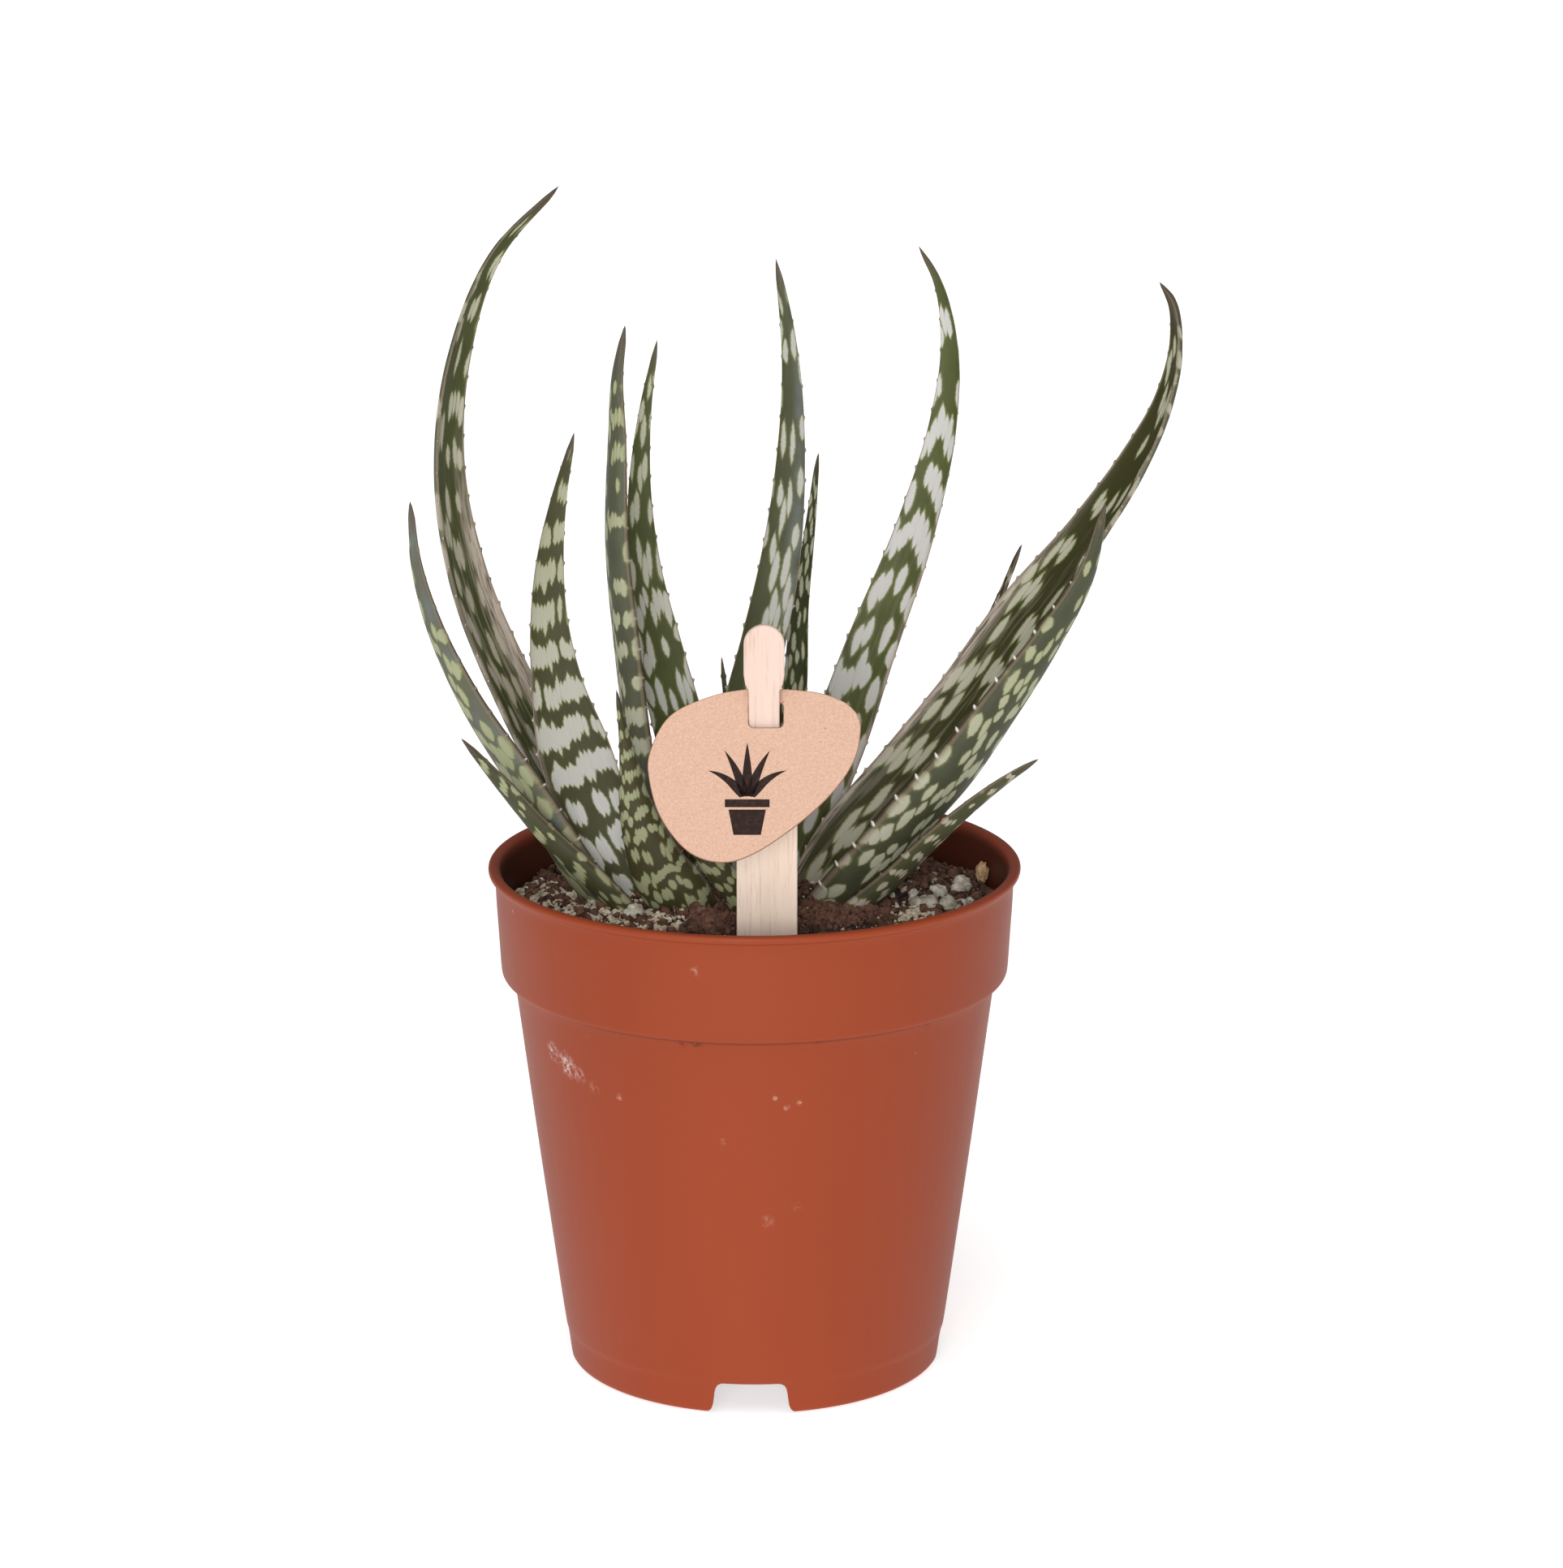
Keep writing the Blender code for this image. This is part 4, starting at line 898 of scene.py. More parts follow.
def solid(name, points, faces, smooth=True):
    """A mesh from points in millimetres about the pot's axis, with its faces turned outwards."""
    mesh = bpy.data.meshes.new(name)
    mesh.from_pydata((np.asarray(points, float) * MM + np.array(AXIS)).tolist(), [], faces)
    bm = bmesh.new()
    bm.from_mesh(mesh)
    bmesh.ops.recalc_face_normals(bm, faces=bm.faces)
    for face in bm.faces:
        face.smooth = smooth
    bm.to_mesh(mesh)
    bm.free()
    return mesh


def skin_mesh(name, rings):
    """A closed mesh over a row of rings; a ring of one point closes an end."""
    starts = np.cumsum([0] + [len(ring) for ring in rings])
    faces = []
    for k in range(len(rings) - 1):
        low, high = starts[k], starts[k + 1]
        lows, highs = len(rings[k]), len(rings[k + 1])
        count = max(lows, highs)
        for i in range(count):
            j = (i + 1) % count
            if lows == 1:
                faces.append((low, high + j, high + i))
            elif highs == 1:
                faces.append((low + i, low + j, high))
            else:
                faces.append((low + i, low + j, high + j, high + i))
    return solid(name, np.vstack([np.asarray(ring, float).reshape(-1, 3) for ring in rings]), faces)


def slab_mesh(name, outline, place, low, high):
    """A flat outline in (across, up) given thickness by the place function."""
    count = len(outline)
    points = [place(u, v, low) for u, v in outline] + [place(u, v, high) for u, v in outline]
    faces = [tuple(range(count)), tuple(range(2 * count - 1, count - 1, -1))]
    faces += [(i, count + i, count + (i + 1) % count, (i + 1) % count) for i in range(count)]
    return solid(name, points, faces, smooth=False)


def cut(mesh, cutters):
    """Take each cutter mesh out of the mesh."""
    target = linked("target", mesh)
    tools = []
    for cutter in cutters:
        tool = linked("tool", cutter)
        tools.append(tool)
        boolean = target.modifiers.new("cut", "BOOLEAN")
        boolean.operation = "DIFFERENCE"
        boolean.solver = "EXACT"
        boolean.object = tool
    result = bpy.data.meshes.new_from_object(target.evaluated_get(bpy.context.evaluated_depsgraph_get()))
    for spent in [target, *tools]:
        bpy.data.objects.remove(spent)
    result.name = mesh.name
    return result


def circle(radius, height, count, centre=(0.0, 0.0)):
    """Points round a level circle, or one point for no radius."""
    if radius == 0.0:
        return [(centre[0], centre[1], height)]
    turns = np.linspace(0.0, 2.0 * math.pi, count, endpoint=False)
    return [(centre[0] + radius * math.cos(t), centre[1] + radius * math.sin(t), height) for t in turns]


def eased(profile, rounds=2):
    """Round a profile's corners by cutting each one back, keeping its ends."""
    points = np.array(profile, float)
    for _ in range(rounds):
        low = points[:-1] * 0.75 + points[1:] * 0.25
        high = points[:-1] * 0.25 + points[1:] * 0.75
        middle = np.empty((2 * len(low), 2))
        middle[0::2], middle[1::2] = low, high
        points = np.vstack([points[:1], middle[1:-1], points[-1:]])
    return [tuple(point) for point in points]


# Pot

def notch_mesh(turn):
    """A bar of the notch's outline through the foot ring."""
    outline = list(NOTCH_HALF) + [(-u, v) for u, v in reversed(NOTCH_HALF)]
    middle = POT_OUTSIDE[0][0]

    def place(u, v, depth):
        out = middle + depth
        return (out * math.cos(turn) - u * math.sin(turn), out * math.sin(turn) + u * math.cos(turn), v)

    return slab_mesh("notch", outline, place, -NOTCH_DEPTH / 2, NOTCH_DEPTH / 2)


def drain_mesh(turn):
    """A cylinder through the floor."""
    centre = (DRAIN_CIRCLE * math.cos(turn), DRAIN_CIRCLE * math.sin(turn))
    low, high = FLOOR_BOTTOM - 2.0, FLOOR_TOP + 2.0
    rings = [circle(0.0, low, 32, centre), circle(DRAIN_RADIUS, low, 32, centre)]
    rings += [circle(DRAIN_RADIUS, high, 32, centre), circle(0.0, high, 32, centre)]
    return skin_mesh("drain", rings)


def pot_mesh(segments):
    """The turned shell with rounded edges, its notches and its drain holes."""
    wall = eased([*POT_UNDERSIDE, *POT_OUTSIDE, *POT_INSIDE])
    profile = [(0.0, FLOOR_BOTTOM), *wall, (0.0, FLOOR_TOP)]
    mesh = skin_mesh("pot_shell", [circle(radius, height, segments) for radius, height in profile])
    cutters = [notch_mesh(NOTCH_TURN + 2.0 * math.pi * i / NOTCHES) for i in range(NOTCHES)]
    cutters += [drain_mesh(NOTCH_TURN + 2.0 * math.pi * (i + 0.5) / DRAIN_HOLES) for i in range(DRAIN_HOLES)]
    mesh = cut(mesh, cutters)
    mesh.set_sharp_from_angle(angle=math.radians(50.0))
    return mesh


# Soil

def soil_height(x, y):
    """The soil's surface without its grain."""
    share = min(math.hypot(x, y) / SOIL_RIM_RADIUS, 1.0)
    crown = SOIL_EDGE + (SOIL_CROWN - SOIL_EDGE) * (1.0 - share ** 2)
    bumps = math.sin(0.31 * x + 1.0) * math.cos(0.27 * y) + math.sin(0.23 * y - 0.41 * x)
    return crown + SOIL_BUMP * bumps


def rough_height(x, y):
    """The same with lumps of two sizes."""
    lumps = sum(high * noise.noise((x * scale, y * scale, layer)) for high, scale, layer in SOIL_LUMPS)
    return soil_height(x, y) + lumps


def soil_mesh():
    """A closed bed: a lumpy top, and plain walls inside the pot."""
    rings = [[(0.0, 0.0, rough_height(0.0, 0.0))]]
    for radius in np.linspace(0.5, SOIL_RIM_RADIUS, SOIL_RINGS):
        ring = circle(radius, 0.0, SOIL_SPOKES)
        rings.append([(x, y, rough_height(x, y)) for x, y, _ in ring])
    for radius, height in POT_INSIDE:
        if height < SOIL_EDGE - 2.0:
            rings.append(circle(radius - SOIL_GAP, max(height, SOIL_BOTTOM), SOIL_SPOKES))
    rings.append(circle(0.0, SOIL_BOTTOM, SOIL_SPOKES))
    return skin_mesh("soil_bed", rings)


def lump_shape(fineness):
    """Vertices and faces of a unit ball."""
    bm = bmesh.new()
    bmesh.ops.create_icosphere(bm, subdivisions=fineness, radius=1.0)
    bm.verts.ensure_lookup_table()
    points = np.array([vertex.co for vertex in bm.verts])
    faces = np.array([[vertex.index for vertex in face.verts] for face in bm.faces])
    bm.free()
    return points, faces


def random_turns(rng, count):
    """Rotation matrices from random quaternions."""
    q = rng.normal(size=(count, 4))
    q /= np.linalg.norm(q, axis=1)[:, None]
    w, x, y, z = q.T
    rows = [1 - 2 * (y * y + z * z), 2 * (x * y - w * z), 2 * (x * z + w * y),
            2 * (x * y + w * z), 1 - 2 * (x * x + z * z), 2 * (y * z - w * x),
            2 * (x * z - w * y), 2 * (y * z + w * x), 1 - 2 * (x * x + y * y)]
    return np.stack(rows, axis=1).reshape(count, 3, 3)


def lumps_mesh(name, places, sizes, fineness, angular, rng):
    """Many uneven lumps in one mesh, each set a third into the soil."""
    ball, faces = lump_shape(fineness)
    count = len(places)
    swell = 1.0 + angular * rng.normal(size=(count, len(ball))).clip(-GRAIN_SWELL, GRAIN_SWELL)
    squash = rng.uniform(*GRAIN_SQUASH, size=(count, 1, 3))
    bodies = ball[None] * swell[:, :, None] * squash
    bodies = np.einsum("nij,nvj->nvi", random_turns(rng, count), bodies) * sizes[:, None, None]
    bodies += places[:, None, :]
    shifted = (faces[None] + (np.arange(count) * len(ball))[:, None, None]).reshape(-1, faces.shape[1])
    return solid(name, bodies.reshape(-1, 3), shifted.tolist(), smooth=fineness > 1)


def scattered(rng, count, low, high, sink, regions=None):
    """Places on the soil's surface, over the whole bed or in round patches, with a size each."""
    sizes = low + (high - low) * rng.random(count) ** GRAIN_SKEW
    if regions:
        picks = rng.integers(0, len(regions), count)
        centres = np.array(regions, float)[picks]
        spread = rng.normal(size=(count, 2)) * centres[:, 2:3] * 0.5
        x, y = (centres[:, :2] + spread).T
    else:
        radius = (SOIL_RIM_RADIUS - 0.6) * np.sqrt(rng.random(count))
        turn = rng.uniform(0.0, 2.0 * math.pi, count)
        x, y = radius * np.cos(turn), radius * np.sin(turn)
    reach = np.hypot(x, y)
    most = SOIL_RIM_RADIUS - 0.4 - sizes
    shrink = np.where(reach > most, most / np.maximum(reach, 1e-6), 1.0)
    x, y = x * shrink, y * shrink
    z = np.array([rough_height(a, b) for a, b in zip(x, y)]) + sizes * (0.5 - sink)
    return np.stack([x, y, z], axis=1), sizes


def fibre(rng):
    """Points and faces of one thin fibre that lies curled on the bed."""
    radius, turn = (SOIL_RIM_RADIUS - 4.0) * math.sqrt(rng.random()), rng.uniform(0.0, 2.0 * math.pi)
    spot = np.array([radius * math.cos(turn), radius * math.sin(turn)])
    heading, bend = rng.uniform(0.0, 2.0 * math.pi), rng.uniform(-FIBRE_BEND, FIBRE_BEND)
    thick, lift = rng.uniform(*FIBRE_THICK), rng.uniform(*FIBRE_LIFT)
    points = []
    for i in range(FIBRE_STEPS + 1):
        rise = lift * math.sin(math.pi * i / FIBRE_STEPS)
        centre = np.array([*spot, rough_height(*spot) + 0.15 + rise])
        aside = np.array([-math.sin(heading), math.cos(heading), 0.0])
        for angle in (0.0, 2.0 * math.pi / 3, 4.0 * math.pi / 3):
            points.append(centre + thick * (aside * math.cos(angle) + np.array([0.0, 0.0, math.sin(angle)])))
        spot = spot + FIBRE_STEP * np.array([math.cos(heading), math.sin(heading)])
        spot *= min(1.0, (SOIL_RIM_RADIUS - 1.0) / np.hypot(*spot))
        heading += bend
    end = 3 * FIBRE_STEPS
    faces = [(2, 1, 0), (end, end + 1, end + 2)]
    for low in range(0, end, 3):
        faces += [(low + k, low + (k + 1) % 3, low + 3 + (k + 1) % 3, low + 3 + k) for k in range(3)]
    return points, faces


def fibres_mesh(name, count, rng):
    """Many loose fibres in one mesh."""
    points, faces = [], []
    for _ in range(count):
        start = len(points)
        own_points, own_faces = fibre(rng)
        points += own_points
        faces += [tuple(start + corner for corner in face) for face in own_faces]
    return solid(name, points, faces)


def husk_mesh(name):
    """One dry chip of husk on edge against the wall: a crumpled flake."""
    ball, faces = lump_shape(4)
    rough = []
    for point in ball:
        rough.append(sum(share * noise.noise(Vector(point) * scale) for share, scale in HUSK_FOLDS))
    shape = ball * (1.0 + HUSK_CRUMPLE * np.array(rough))[:, None] * np.array(HUSK_SIZE)
    x, y = HUSK_PLACE
    shape += np.array([x, y, rough_height(x, y) + HUSK_RISE * HUSK_SIZE[2]])
    return solid(name, shape, faces.tolist())


# Leaves

def along_curve(points, shares):
    """Values at shares of the length on a smooth curve through the points, with its direction there."""
    points = np.array(points, float)
    chords = np.linalg.norm(np.diff(points[:, :3], axis=0), axis=1)
    knots = np.concatenate([[0.0], np.cumsum(chords)]) / chords.sum()
    slopes = np.diff(points, axis=0) / np.diff(knots)[:, None]
    share = (np.diff(knots)[1:] / (knots[2:] - knots[:-2]))[:, None]
    middle = slopes[:-1] * share + slopes[1:] * (1.0 - share)
    tangents = np.vstack([slopes[:1], middle, slopes[-1:]])
    span = np.clip(np.searchsorted(knots, shares, side="right") - 1, 0, len(points) - 2)
    length = (knots[span + 1] - knots[span])[:, None]
    x = ((shares - knots[span]) / (knots[span + 1] - knots[span]))[:, None]
    start, end = points[span], points[span + 1]
    pull_start, pull_end = tangents[span] * length, tangents[span + 1] * length
    values = (2 * x**3 - 3 * x**2 + 1) * start + (x**3 - 2 * x**2 + x) * pull_start
    values += (3 * x**2 - 2 * x**3) * end + (x**3 - x**2) * pull_end
    heading = (6 * x**2 - 6 * x) * (start - end) + (3 * x**2 - 4 * x + 1) * pull_start
    heading += (3 * x**2 - 2 * x) * pull_end
    heading = heading[:, :3] / np.linalg.norm(heading[:, :3], axis=1)[:, None]
    return values, heading, chords.sum()


def tooth_push(stations, places, heights):
    """How far the margin stands out at each station: a short hook at each tooth."""
    push = np.zeros(len(stations))
    for place, height in zip(places, heights):
        gap = (stations - place) / TOOTH_FOOT
        shape = np.clip(1.0 - np.abs(gap), 0.0, 1.0) ** TOOTH_BOW
        push = np.maximum(push, height * shape)
    return push


def tooth_places(length, rng):
    """Places along the leaf and heights of the teeth on each margin."""
    teeth = np.arange(BARE_LENGTH, TOOTHED_SHARE * length, TOOTH_PITCH)
    sides = []
    for _ in range(2):
        places = teeth + rng.uniform(-TOOTH_SCATTER, TOOTH_SCATTER, len(teeth))
        sides.append((places, rng.uniform(*TOOTH_HEIGHTS, len(teeth))))
    return sides


def ring_stations(length, sides):
    """Where the blade gets a ring of points: at even steps, and at finer ones over each tooth."""
    stations = list(np.arange(0.0, LAST_RING * length, RING_STEP))
    for places, _ in sides:
        for place in places:
            stations += list(place + np.arange(-TOOTH_FOOT, TOOTH_FOOT + 0.01, TOOTH_STEP))
    stations = np.array(sorted(stations))
    return stations[np.concatenate([[True], np.diff(stations) > RING_LEAST])]


def blade_run(leaf, stations, length):
    """The blade at each station: its middle, its directions, its width and its thickness."""
    points, face_base, face_tip, thickness, _ = leaf
    shares = stations / length
    values, heading, _ = along_curve(points, shares)
    width = np.maximum(values[:, 3], TIP_WIDTH)
    thick = np.minimum(thickness * (1.0 - LEAF_THINNING * shares**1.3), 0.35 * width + 0.9)
    thick = np.maximum(thick, LEAF_LEAST)
    # Both draw in over the tip
    close = np.clip((length - stations) / TIP_LENGTH, TIP_LEAST, 1.0) ** 0.5
    turn = np.radians(face_base + (face_tip - face_base) * shares)
    level = np.stack([np.cos(turn), np.sin(turn), np.zeros_like(turn)], axis=1)
    normal = level - (level * heading).sum(axis=1)[:, None] * heading
    normal /= np.linalg.norm(normal, axis=1)[:, None]
    return Blade(values[:, :3], heading, normal, np.cross(heading, normal), width * close, thick * close)


def blade_sections(blade, channel):
    """Each section's points, across and out of the leaf: round the outer face, back over the inner one."""
    outer = np.linspace(0.0, math.pi, OUTER_STEPS + 1)
    inner = np.linspace(math.pi, 0.0, INNER_STEPS + 1)[1:-1]
    dip = CHANNEL_DIP * channel * blade.width
    u = np.concatenate([-np.cos(outer), -np.cos(inner)])[None] * blade.width[:, None] / 2.0
    v_outer = -np.sin(outer)[None] ** OUTER_BOW * (blade.thick + dip)[:, None]
    v_inner = -np.sin(inner)[None] * dip[:, None]
    return u, np.concatenate([v_outer, v_inner], axis=1) + blade.thick[:, None] / 2.0


def raise_teeth(rings, blade, stations, sides, tooth_height):
    """Push both margins out into teeth, and say how far each point was pushed."""
    scale = np.clip(blade.width / TOOTH_FULL_WIDTH, TOOTH_LEAST, 1.0) * tooth_height
    pushed = np.zeros(rings.shape[:2])
    for (places, heights), edge, side in zip(sides, (0, OUTER_STEPS), (-1.0, 1.0)):
        push = tooth_push(stations, places, heights) * scale
        rings[:, edge] += (side * blade.across + TOOTH_LEAN * blade.heading) * push[:, None]
        pushed[:, edge] = push
        for beside in (edge - 1, edge + 1):
            rings[:, beside] += side * blade.across * push[:, None] * BESIDE_PUSH
            pushed[:, beside] = push * BESIDE_HORN
    return pushed


def keep_vectors(mesh, title, inside, first, last):
    """Store a vector for each of the blade's points, and for the points at its base and tip."""
    rows = np.vstack([[first], inside.reshape(-1, 3), [last]]).astype(np.float32)
    mesh.attributes.new(title, "FLOAT_VECTOR", "POINT").data.foreach_set("vector", rows.ravel())


def leaf_mesh(name, leaf, tooth_height, rng):
    """One fine leaf, with what its skin needs to know at each point."""
    points, channel = leaf[0], leaf[-1]
    length = along_curve(points, np.array([0.5]))[2]
    sides = tooth_places(length, rng)
    stations = ring_stations(length, sides)
    blade = blade_run(leaf, stations, length)
    u, v = blade_sections(blade, channel)
    rings = blade.middle[:, None] + u[..., None] * blade.across[:, None]
    rings += v[..., None] * blade.normal[:, None]
    tooth = raise_teeth(rings, blade, stations, sides, tooth_height)
    rings = np.clip(rings, LOW_CORNER, HIGH_CORNER)
    base = blade.middle[0] - blade.normal[0] * 0.3 * blade.thick[0]
    tip = np.clip(points[-1][:3], LOW_CORNER, HIGH_CORNER)
    mesh = skin_mesh(name, [[base], *rings, [tip]])
    along = np.repeat(stations[:, None], u.shape[1], axis=1)
    inner = np.repeat([[0.0] * (OUTER_STEPS + 1) + [1.0] * (INNER_STEPS - 1)], len(stations), axis=0)
    place = np.stack([u, along, 2.0 * u / blade.width[:, None]], axis=2)
    facts = np.stack([inner, along / length, tooth], axis=2)
    keep_vectors(mesh, "leaf_place", place, (0, 0, 0), (0, length, 1))
    keep_vectors(mesh, "leaf_facts", facts, (0, 0, 0), (0, 1, 0))
    return mesh


# Label

def stick_outline():
    """The stick's outline in x and height: right side, round head, then left side."""
    body = [(STICK_BODY_HALF - 1.5, STICK_FOOT), (STICK_BODY_HALF, STICK_FOOT + 1.5)]
    body += [(STICK_BODY_HALF, STICK_SHOULDER)]
    neck = [(STICK_NECK_HALF + 0.7, STICK_NECK_LOW - 1.0), (STICK_NECK_HALF, STICK_NECK_LOW)]
    neck += [(STICK_NECK_HALF, STICK_NECK_HIGH), (STICK_HEAD_HALF - 0.25, STICK_HEAD_LOW - 1.5)]
    neck += [(STICK_HEAD_HALF, STICK_HEAD_LOW)]
    right = [(STICK_BODY_X + u, v) for u, v in body] + [(STICK_HEAD_X + u, v) for u, v in neck]
    left = [(STICK_BODY_X - u, v) for u, v in body] + [(STICK_HEAD_X - u, v) for u, v in neck]
    crown = []
    for turn in np.linspace(0.0, math.pi, 25):
        out, up = STICK_HEAD_HALF * math.cos(turn), STICK_HEAD_HALF * math.sin(turn)
        crown.append((STICK_HEAD_X + out, STICK_HEAD_TOP - STICK_HEAD_HALF + up))
    return right + crown + left[::-1]


def stick_place(u, v, depth):
    """The stick stands upright."""
    return (u, STICK_Y + depth, v)


def card_place(u, v, depth):
    """The card leans back by its top; depth counts away from the viewer."""
    y = STICK_Y + v * math.sin(CARD_LEAN) + depth * math.cos(CARD_LEAN)
    z = CARD_SLOT[1] + v * math.cos(CARD_LEAN) - depth * math.sin(CARD_LEAN)
    return (CARD_SLOT[0] + u, y, z)


def smooth_loop(points, steps):
    """A closed smooth outline through the points."""
    points = np.array(points, float)
    outline = []
    for i in range(len(points)):
        before, start, end, after = (points[(i + k) % len(points)] for k in (-1, 0, 1, 2))
        for x in np.arange(steps) / steps:
            here = 0.5 * (2 * start + (end - before) * x + (2 * before - 5 * start + 4 * end - after) * x**2
                          + (3 * start - before - 3 * end + after) * x**3)
            outline.append(tuple(here))
    return outline


def slot_outline():
    """A rectangle with rounded corners."""
    outline = []
    for side_u, side_v, start in ((1, 1, 0), (-1, 1, 90), (-1, -1, 180), (1, -1, 270)):
        for turn in np.linspace(0, 90, 7):
            angle = math.radians(start + turn)
            u = side_u * (SLOT_HALF_WIDTH - SLOT_ROUND) + SLOT_ROUND * math.cos(angle)
            v = side_v * (SLOT_HALF_HEIGHT - SLOT_ROUND) + SLOT_ROUND * math.sin(angle)
            outline.append((u, v))
    return outline


def print_outlines():
    """Outlines of the printed pot, its rim and its leaves on the card."""
    for (low_half, low), (high_half, high) in (PRINT_POT, PRINT_RIM):
        yield [(-low_half, low), (low_half, low), (high_half, high), (-high_half, high)]
    for lean_root, lean_tip, length, width in PRINT_LEAVES:
        spot = np.array([1.6 * math.sin(math.radians(lean_root)), PRINT_LEAF_ROOT])
        sides = ([], [])
        for i in range(PRINT_STEPS + 1):
            share = i / PRINT_STEPS
            turn = math.radians(lean_root + (lean_tip - lean_root) * share)
            swell = 0.55 + 0.45 * math.sin(math.pi * min(share * 1.6, 0.5))
            half = width / 2 * (1.0 - share**1.8) * swell
            for side, points in zip((1.0, -1.0), sides):
                points.append(tuple(spot + side * half * np.array([math.cos(turn), -math.sin(turn)])))
            spot = spot + length / PRINT_STEPS * np.array([math.sin(turn), math.cos(turn)])
        yield sides[0] + sides[1][-2::-1]


def print_mesh():
    """The picture as a thin film of ink that lies on the card."""
    front = -CARD_THICKNESS / 2 - INK_THICKNESS
    merged = bmesh.new()
    for outline in print_outlines():
        outline = [(PRINT_FOOT[0] + u, PRINT_FOOT[1] + v) for u, v in outline]
        merged.from_mesh(slab_mesh("print", outline, card_place, front, front + 2.0 * INK_THICKNESS))
    mesh = bpy.data.meshes.new("card_print")
    merged.to_mesh(mesh)
    merged.free()
    return mesh


def bevelled(made, width, angle=40.0):
    """Give a piece soft edges with the bevel modifier."""
    bevel = made.modifiers.new("edge", "BEVEL")
    bevel.width = width
    bevel.segments = 3
    bevel.limit_method = "ANGLE"
    bevel.angle_limit = math.radians(angle)
    for face in made.data.polygons:
        face.use_smooth = True
    made.data.set_sharp_from_angle(angle=math.radians(60.0))
    return made


# Stage

def add_floor(colour):
    """The floor, just below the pot's foot."""
    reach = FLOOR_REACH
    corners = [(-reach, -reach, 0), (reach, -reach, 0), (reach, reach, 0), (-reach, reach, 0)]
    mesh = bpy.data.meshes.new("floor")
    mesh.from_pydata(corners, [], [(0, 1, 2, 3)])
    mesh.materials.append(opal_acrylic(colour))
    floor = linked("floor", mesh)
    floor.location.z = AXIS.z - FLOOR_DROP * MM
    floor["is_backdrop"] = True


def add_room(scene, strength):
    """The white room all round."""
    world = bpy.data.worlds.new("studio")
    world.use_nodes = True
    background = world.node_tree.nodes["Background"]
    background.inputs["Color"].default_value = (1.0, 1.0, 1.0, 1.0)
    background.inputs["Strength"].default_value = strength
    scene.world = world


def add_lamps():
    """The broad lamps, each turned towards the plant."""
    for name, (direction, height, width, strength) in LAMPS.items():
        lamp = bpy.data.lights.new(name, "SUN")
        lamp.angle = math.radians(width)
        lamp.energy = strength
        turn, rise = math.radians(direction), math.radians(height)
        towards = (math.cos(turn) * math.cos(rise), math.sin(turn) * math.cos(rise), math.sin(rise))
        linked(name, lamp).rotation_euler = (-Vector(towards)).to_track_quat("-Z", "Y").to_euler()


def add_camera(scene):
    """The camera, where the photograph was taken from."""
    lens = bpy.data.cameras.new("camera")
    lens.lens = CAMERA_LENS
    lens.sensor_width = CAMERA_SENSOR
    lens.clip_start = 0.05
    camera = linked("camera", lens)
    camera.location = AXIS + Vector(CAMERA_PLACE) * MM
    camera.rotation_euler = (math.radians(90.0) - CAMERA_PITCH, 0.0, 0.0)
    scene.camera = camera


# Settings, operators and panel

class PotSettings(PropertyGroup):
    """Sizes and colours of the pot that a user might change."""

    colour: FloatVectorProperty(name="Pot", description="Colour of the moulded plastic", subtype="COLOR",
                                default=linear("#913B1A"))
    segments: IntProperty(name="Segments", description="Steps round the pot", default=POT_SEGMENTS, min=48)


class SoilSettings(PropertyGroup):
    """How the bed is strewn."""

    crumbs: IntProperty(name="Crumbs", description="Peat crumbs on the bed", default=5200, min=0)
    grains: IntProperty(name="Grains", description="Pale sand grains on the bed", default=4200, min=0)
    pumice: IntProperty(name="Pumice", description="Larger pale lumps of pumice", default=44, min=0)
    fibres: IntProperty(name="Fibres", description="Loose root and coir fibres", default=90, min=0)
    seed: IntProperty(name="Seed", description="Fixes every random draw", default=7)


class LeafSettings(PropertyGroup):
    """The teeth of the leaves."""

    tooth: FloatProperty(name="Tooth height", description="Height of a tooth on a wide leaf",
                         default=0.45 * MM, unit="LENGTH", precision=5)
    long_tooth: FloatProperty(name="Long tooth height", description="Height of a tooth on the near leaf",
                              default=1.0 * MM, unit="LENGTH", precision=5)


class LabelSettings(PropertyGroup):
    """The stick, the card and its print."""

    birch: FloatVectorProperty(name="Birch", description="Colour of the stick", subtype="COLOR",
                               default=linear("#E2CABF"))
    kraft: FloatVectorProperty(name="Kraft", description="Colour of the card", subtype="COLOR",
                               default=linear("#DDB9A3"))
    ink: FloatVectorProperty(name="Ink", description="Colour of the print", subtype="COLOR",
                             default=linear("#2B1D1A"))
    edge: FloatProperty(name="Soft edge", description="Bevel of stick and card", default=0.28 * MM,
                        unit="LENGTH", precision=5)


class StageSettings(PropertyGroup):
    """Floor and light."""

    floor: FloatVectorProperty(name="Floor", description="Colour of the studio floor", subtype="COLOR",
                               default=linear("#F7F7F7"))
    room: FloatProperty(name="Room light", description="Strength of the white room", default=0.28, min=0.0)


class ALOE_OT_pot(Operator):
    """Build the fine moulded pot"""

    bl_idname = "aloe.pot"
    bl_label = "Pot"

    def execute(self, context):
        settings = context.scene.aloe_pot
        plastic = moulded_polypropylene(settings.colour)
        finish_piece("pot_shell", pot_mesh(settings.segments), plastic, ["pot"])
        return {"FINISHED"}


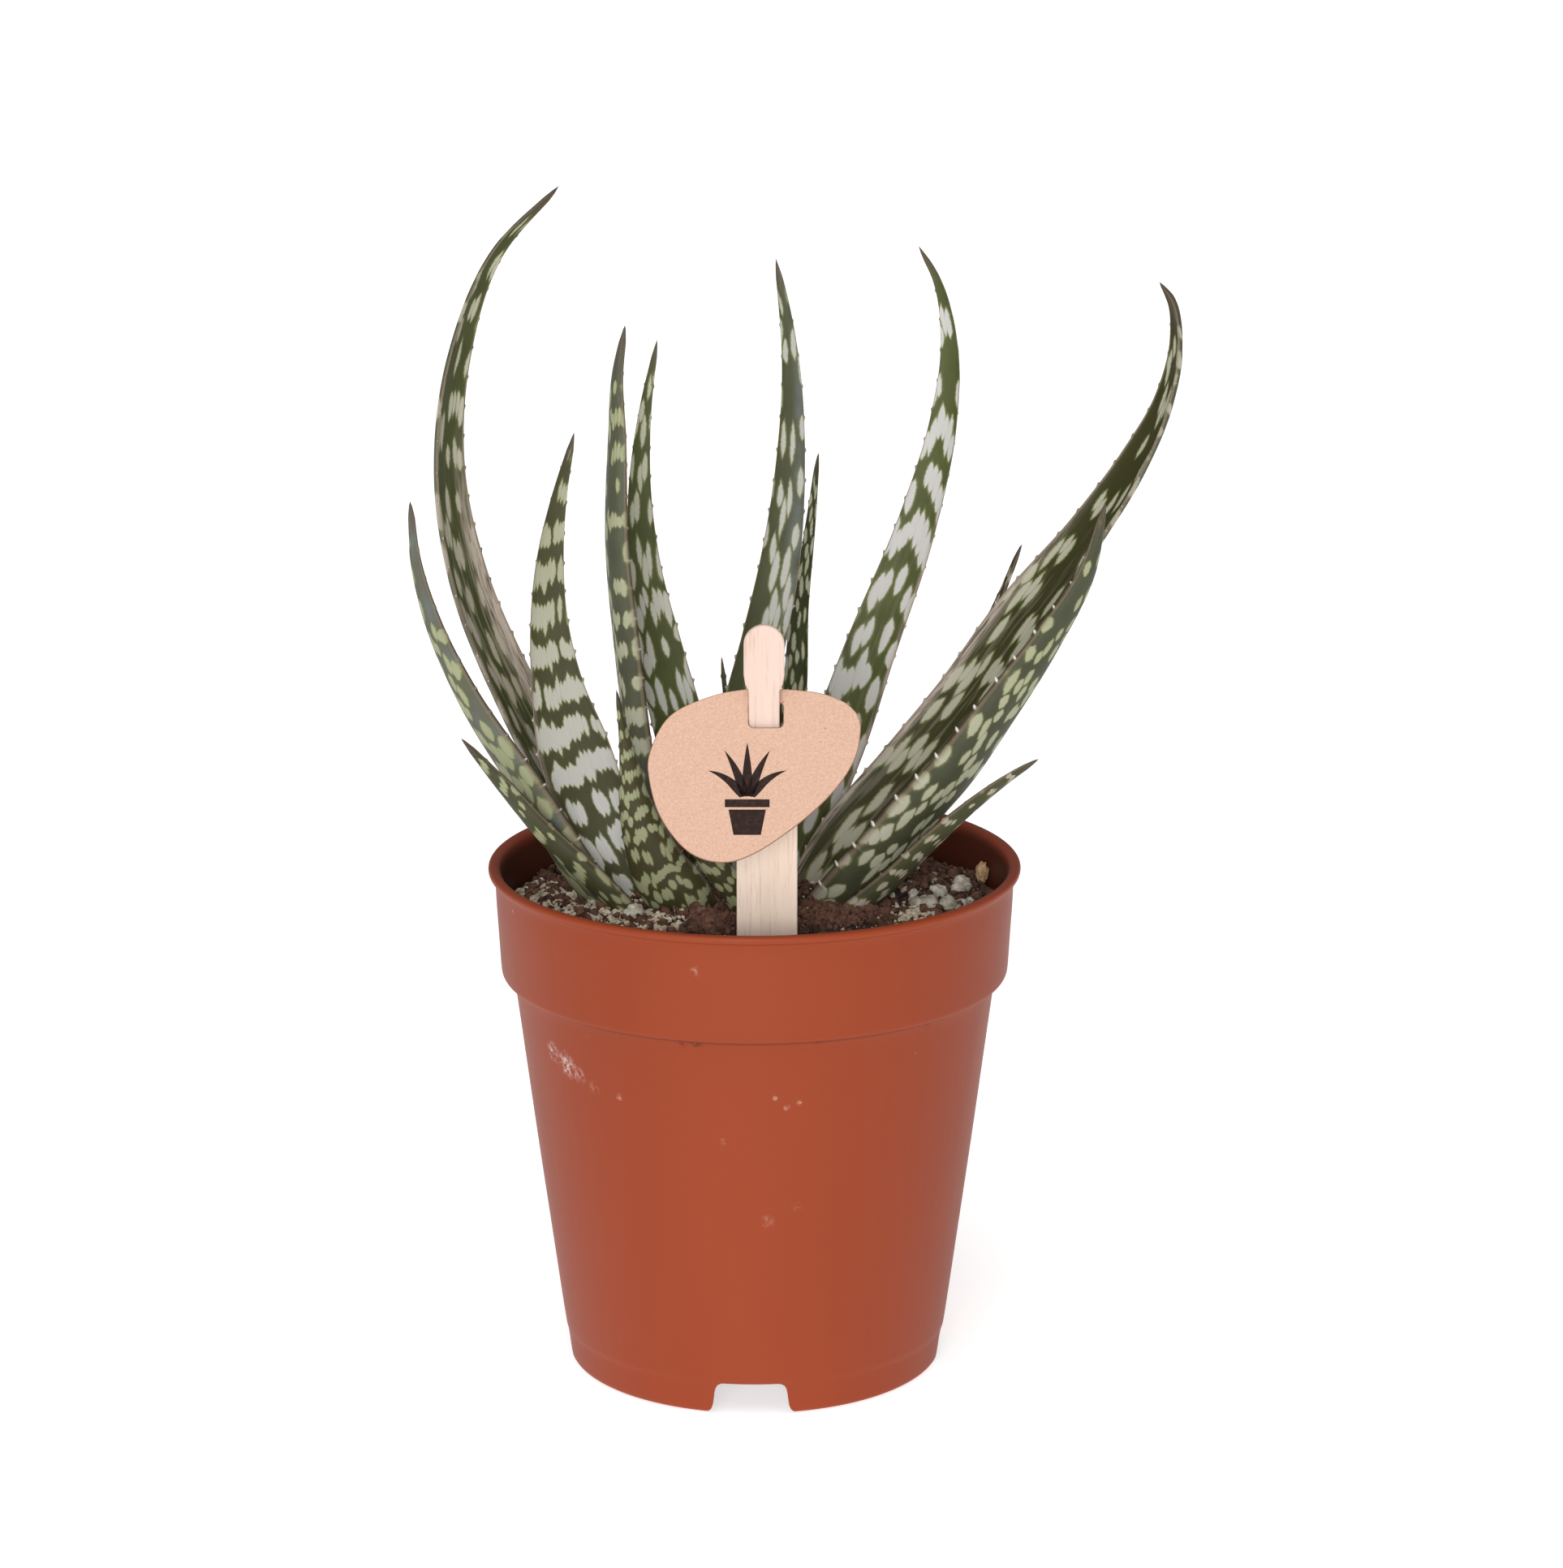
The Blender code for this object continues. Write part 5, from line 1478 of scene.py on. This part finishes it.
class ALOE_OT_soil(Operator):
    """Build the soil bed and strew it with crumbs, grains and fibres"""

    bl_idname = "aloe.soil"
    bl_label = "Soil"

    def execute(self, context):
        settings = context.scene.aloe_soil
        rng = np.random.default_rng(settings.seed)
        looks = {name: grainy(name, *look) for name, look in GRAINY_LOOKS.items()}
        finish_piece("soil_bed", soil_mesh(), looks["damp_peat"], ["soil"])
        strewn = (
            ("peat_crumbs", "dry_peat", settings.crumbs, 0.25, 1.4, 1, 0.22, None),
            ("coir_crumbs", "coir_dust", settings.crumbs // 5, 0.3, 1.0, 1, 0.3, FIBRE_PATCHES),
            ("sand_grains", "quartz_sand", settings.grains, 0.18, 0.75, 1, 0.14, SANDY_PATCHES),
            ("stray_sand", "quartz_sand", settings.grains // 4, 0.18, 0.6, 1, 0.14, None),
            ("pumice_grains", "crushed_pumice", settings.pumice, 0.7, 2.1, 2, 0.15, PUMICE_PATCHES),
        )
        for name, look, count, low, high, fineness, angular, patches in strewn:
            places, sizes = scattered(rng, count, low, high, SINK, patches)
            mesh = lumps_mesh(name, places, sizes, fineness, angular, rng)
            finish_piece(name, mesh, looks[look])
        fibres = fibres_mesh("coir_fibres", settings.fibres, rng)
        finish_piece("coir_fibres", fibres, looks["coir_dust"])
        finish_piece("husk_chip", husk_mesh("husk_chip"), looks["dried_husk"])
        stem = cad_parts["stem"]
        stem.data.materials.clear()
        stem.data.materials.append(looks["stem_flesh"])
        return {"FINISHED"}


class ALOE_OT_leaves(Operator):
    """Build every leaf with its own markings"""

    bl_idname = "aloe.leaves"
    bl_label = "Leaves"

    def execute(self, context):
        settings = context.scene.aloe_leaves
        for number, (name, leaf) in enumerate(LEAVES.items()):
            rng = np.random.default_rng(100 + number)
            height = settings.long_tooth if name in LONG_TEETH else settings.tooth
            skin = aloe_skin(name + "_skin", MARKS[name], number)
            mesh = leaf_mesh(name + "_blade", leaf, height / MM, rng)
            finish_piece(name + "_blade", mesh, skin, [name])
        return {"FINISHED"}


class ALOE_OT_label(Operator):
    """Build the birch stick and the printed kraft card"""

    bl_idname = "aloe.label"
    bl_label = "Label"

    def execute(self, context):
        settings = context.scene.aloe_label
        half = STICK_THICKNESS / 2
        mesh = slab_mesh("birch_stick", stick_outline(), stick_place, -half, half)
        birch = sanded_birch(settings.birch)
        stick = finish_piece("birch_stick", mesh, birch, ["label_stick"])
        bevelled(stick, settings.edge)
        half = CARD_THICKNESS / 2
        mesh = slab_mesh("kraft_card", smooth_loop(CARD_OUTLINE, 8), card_place, -half, half)
        mesh = cut(mesh, [slab_mesh("slot", slot_outline(), card_place, -3.0, 3.0)])
        kraft = kraft_board(settings.kraft)
        card = finish_piece("kraft_card", mesh, kraft, ["label_card"])
        bevelled(card, settings.edge)
        finish_piece("card_print", print_mesh(), printing_ink(settings.ink))
        return {"FINISHED"}


class ALOE_OT_stage(Operator):
    """Set the floor, the soft light and the camera"""

    bl_idname = "aloe.stage"
    bl_label = "Stage"

    def execute(self, context):
        scene = context.scene
        add_floor(scene.aloe_stage.floor)
        add_room(scene, scene.aloe_stage.room)
        add_lamps()
        add_camera(scene)
        scene.view_settings.view_transform = "Standard"
        return {"FINISHED"}


OPERATORS = (ALOE_OT_stage, ALOE_OT_pot, ALOE_OT_soil, ALOE_OT_leaves, ALOE_OT_label)
GROUPS = {"aloe_pot": PotSettings, "aloe_soil": SoilSettings, "aloe_leaves": LeafSettings,
          "aloe_label": LabelSettings, "aloe_stage": StageSettings}


class ALOE_PT_panel(Panel):
    """List the settings and steps in the sidebar"""

    bl_idname = "ALOE_PT_panel"
    bl_label = "Potted aloe"
    bl_space_type = "VIEW_3D"
    bl_region_type = "UI"
    bl_category = "Potted aloe"

    def draw(self, context):
        for group in GROUPS:
            settings = getattr(context.scene, group)
            for name in settings.bl_rna.properties.keys():
                if name not in ("rna_type", "name"):
                    self.layout.prop(settings, name)
        for operator in OPERATORS:
            self.layout.operator(operator.bl_idname)


CLASSES = (*GROUPS.values(), *OPERATORS, ALOE_PT_panel)


def register():
    """Add the settings, operators and panel to Blender."""
    for one in CLASSES:
        bpy.utils.register_class(one)
    for name, group in GROUPS.items():
        setattr(bpy.types.Scene, name, PointerProperty(type=group))


def unregister():
    """Take them out again."""
    for name in GROUPS:
        delattr(bpy.types.Scene, name)
    for one in reversed(CLASSES):
        bpy.utils.unregister_class(one)


def main():
    """Dress the plant step by step."""
    register()
    bpy.ops.aloe.stage()
    bpy.ops.aloe.pot()
    bpy.ops.aloe.soil()
    bpy.ops.aloe.leaves()
    bpy.ops.aloe.label()
    bounds = {"cad": CAD_BOUNDS, "visual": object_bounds()}
    {name: [list(corner) for corner in pair] for name, pair in bounds.items()}


if __name__ == "__main__":
    main()
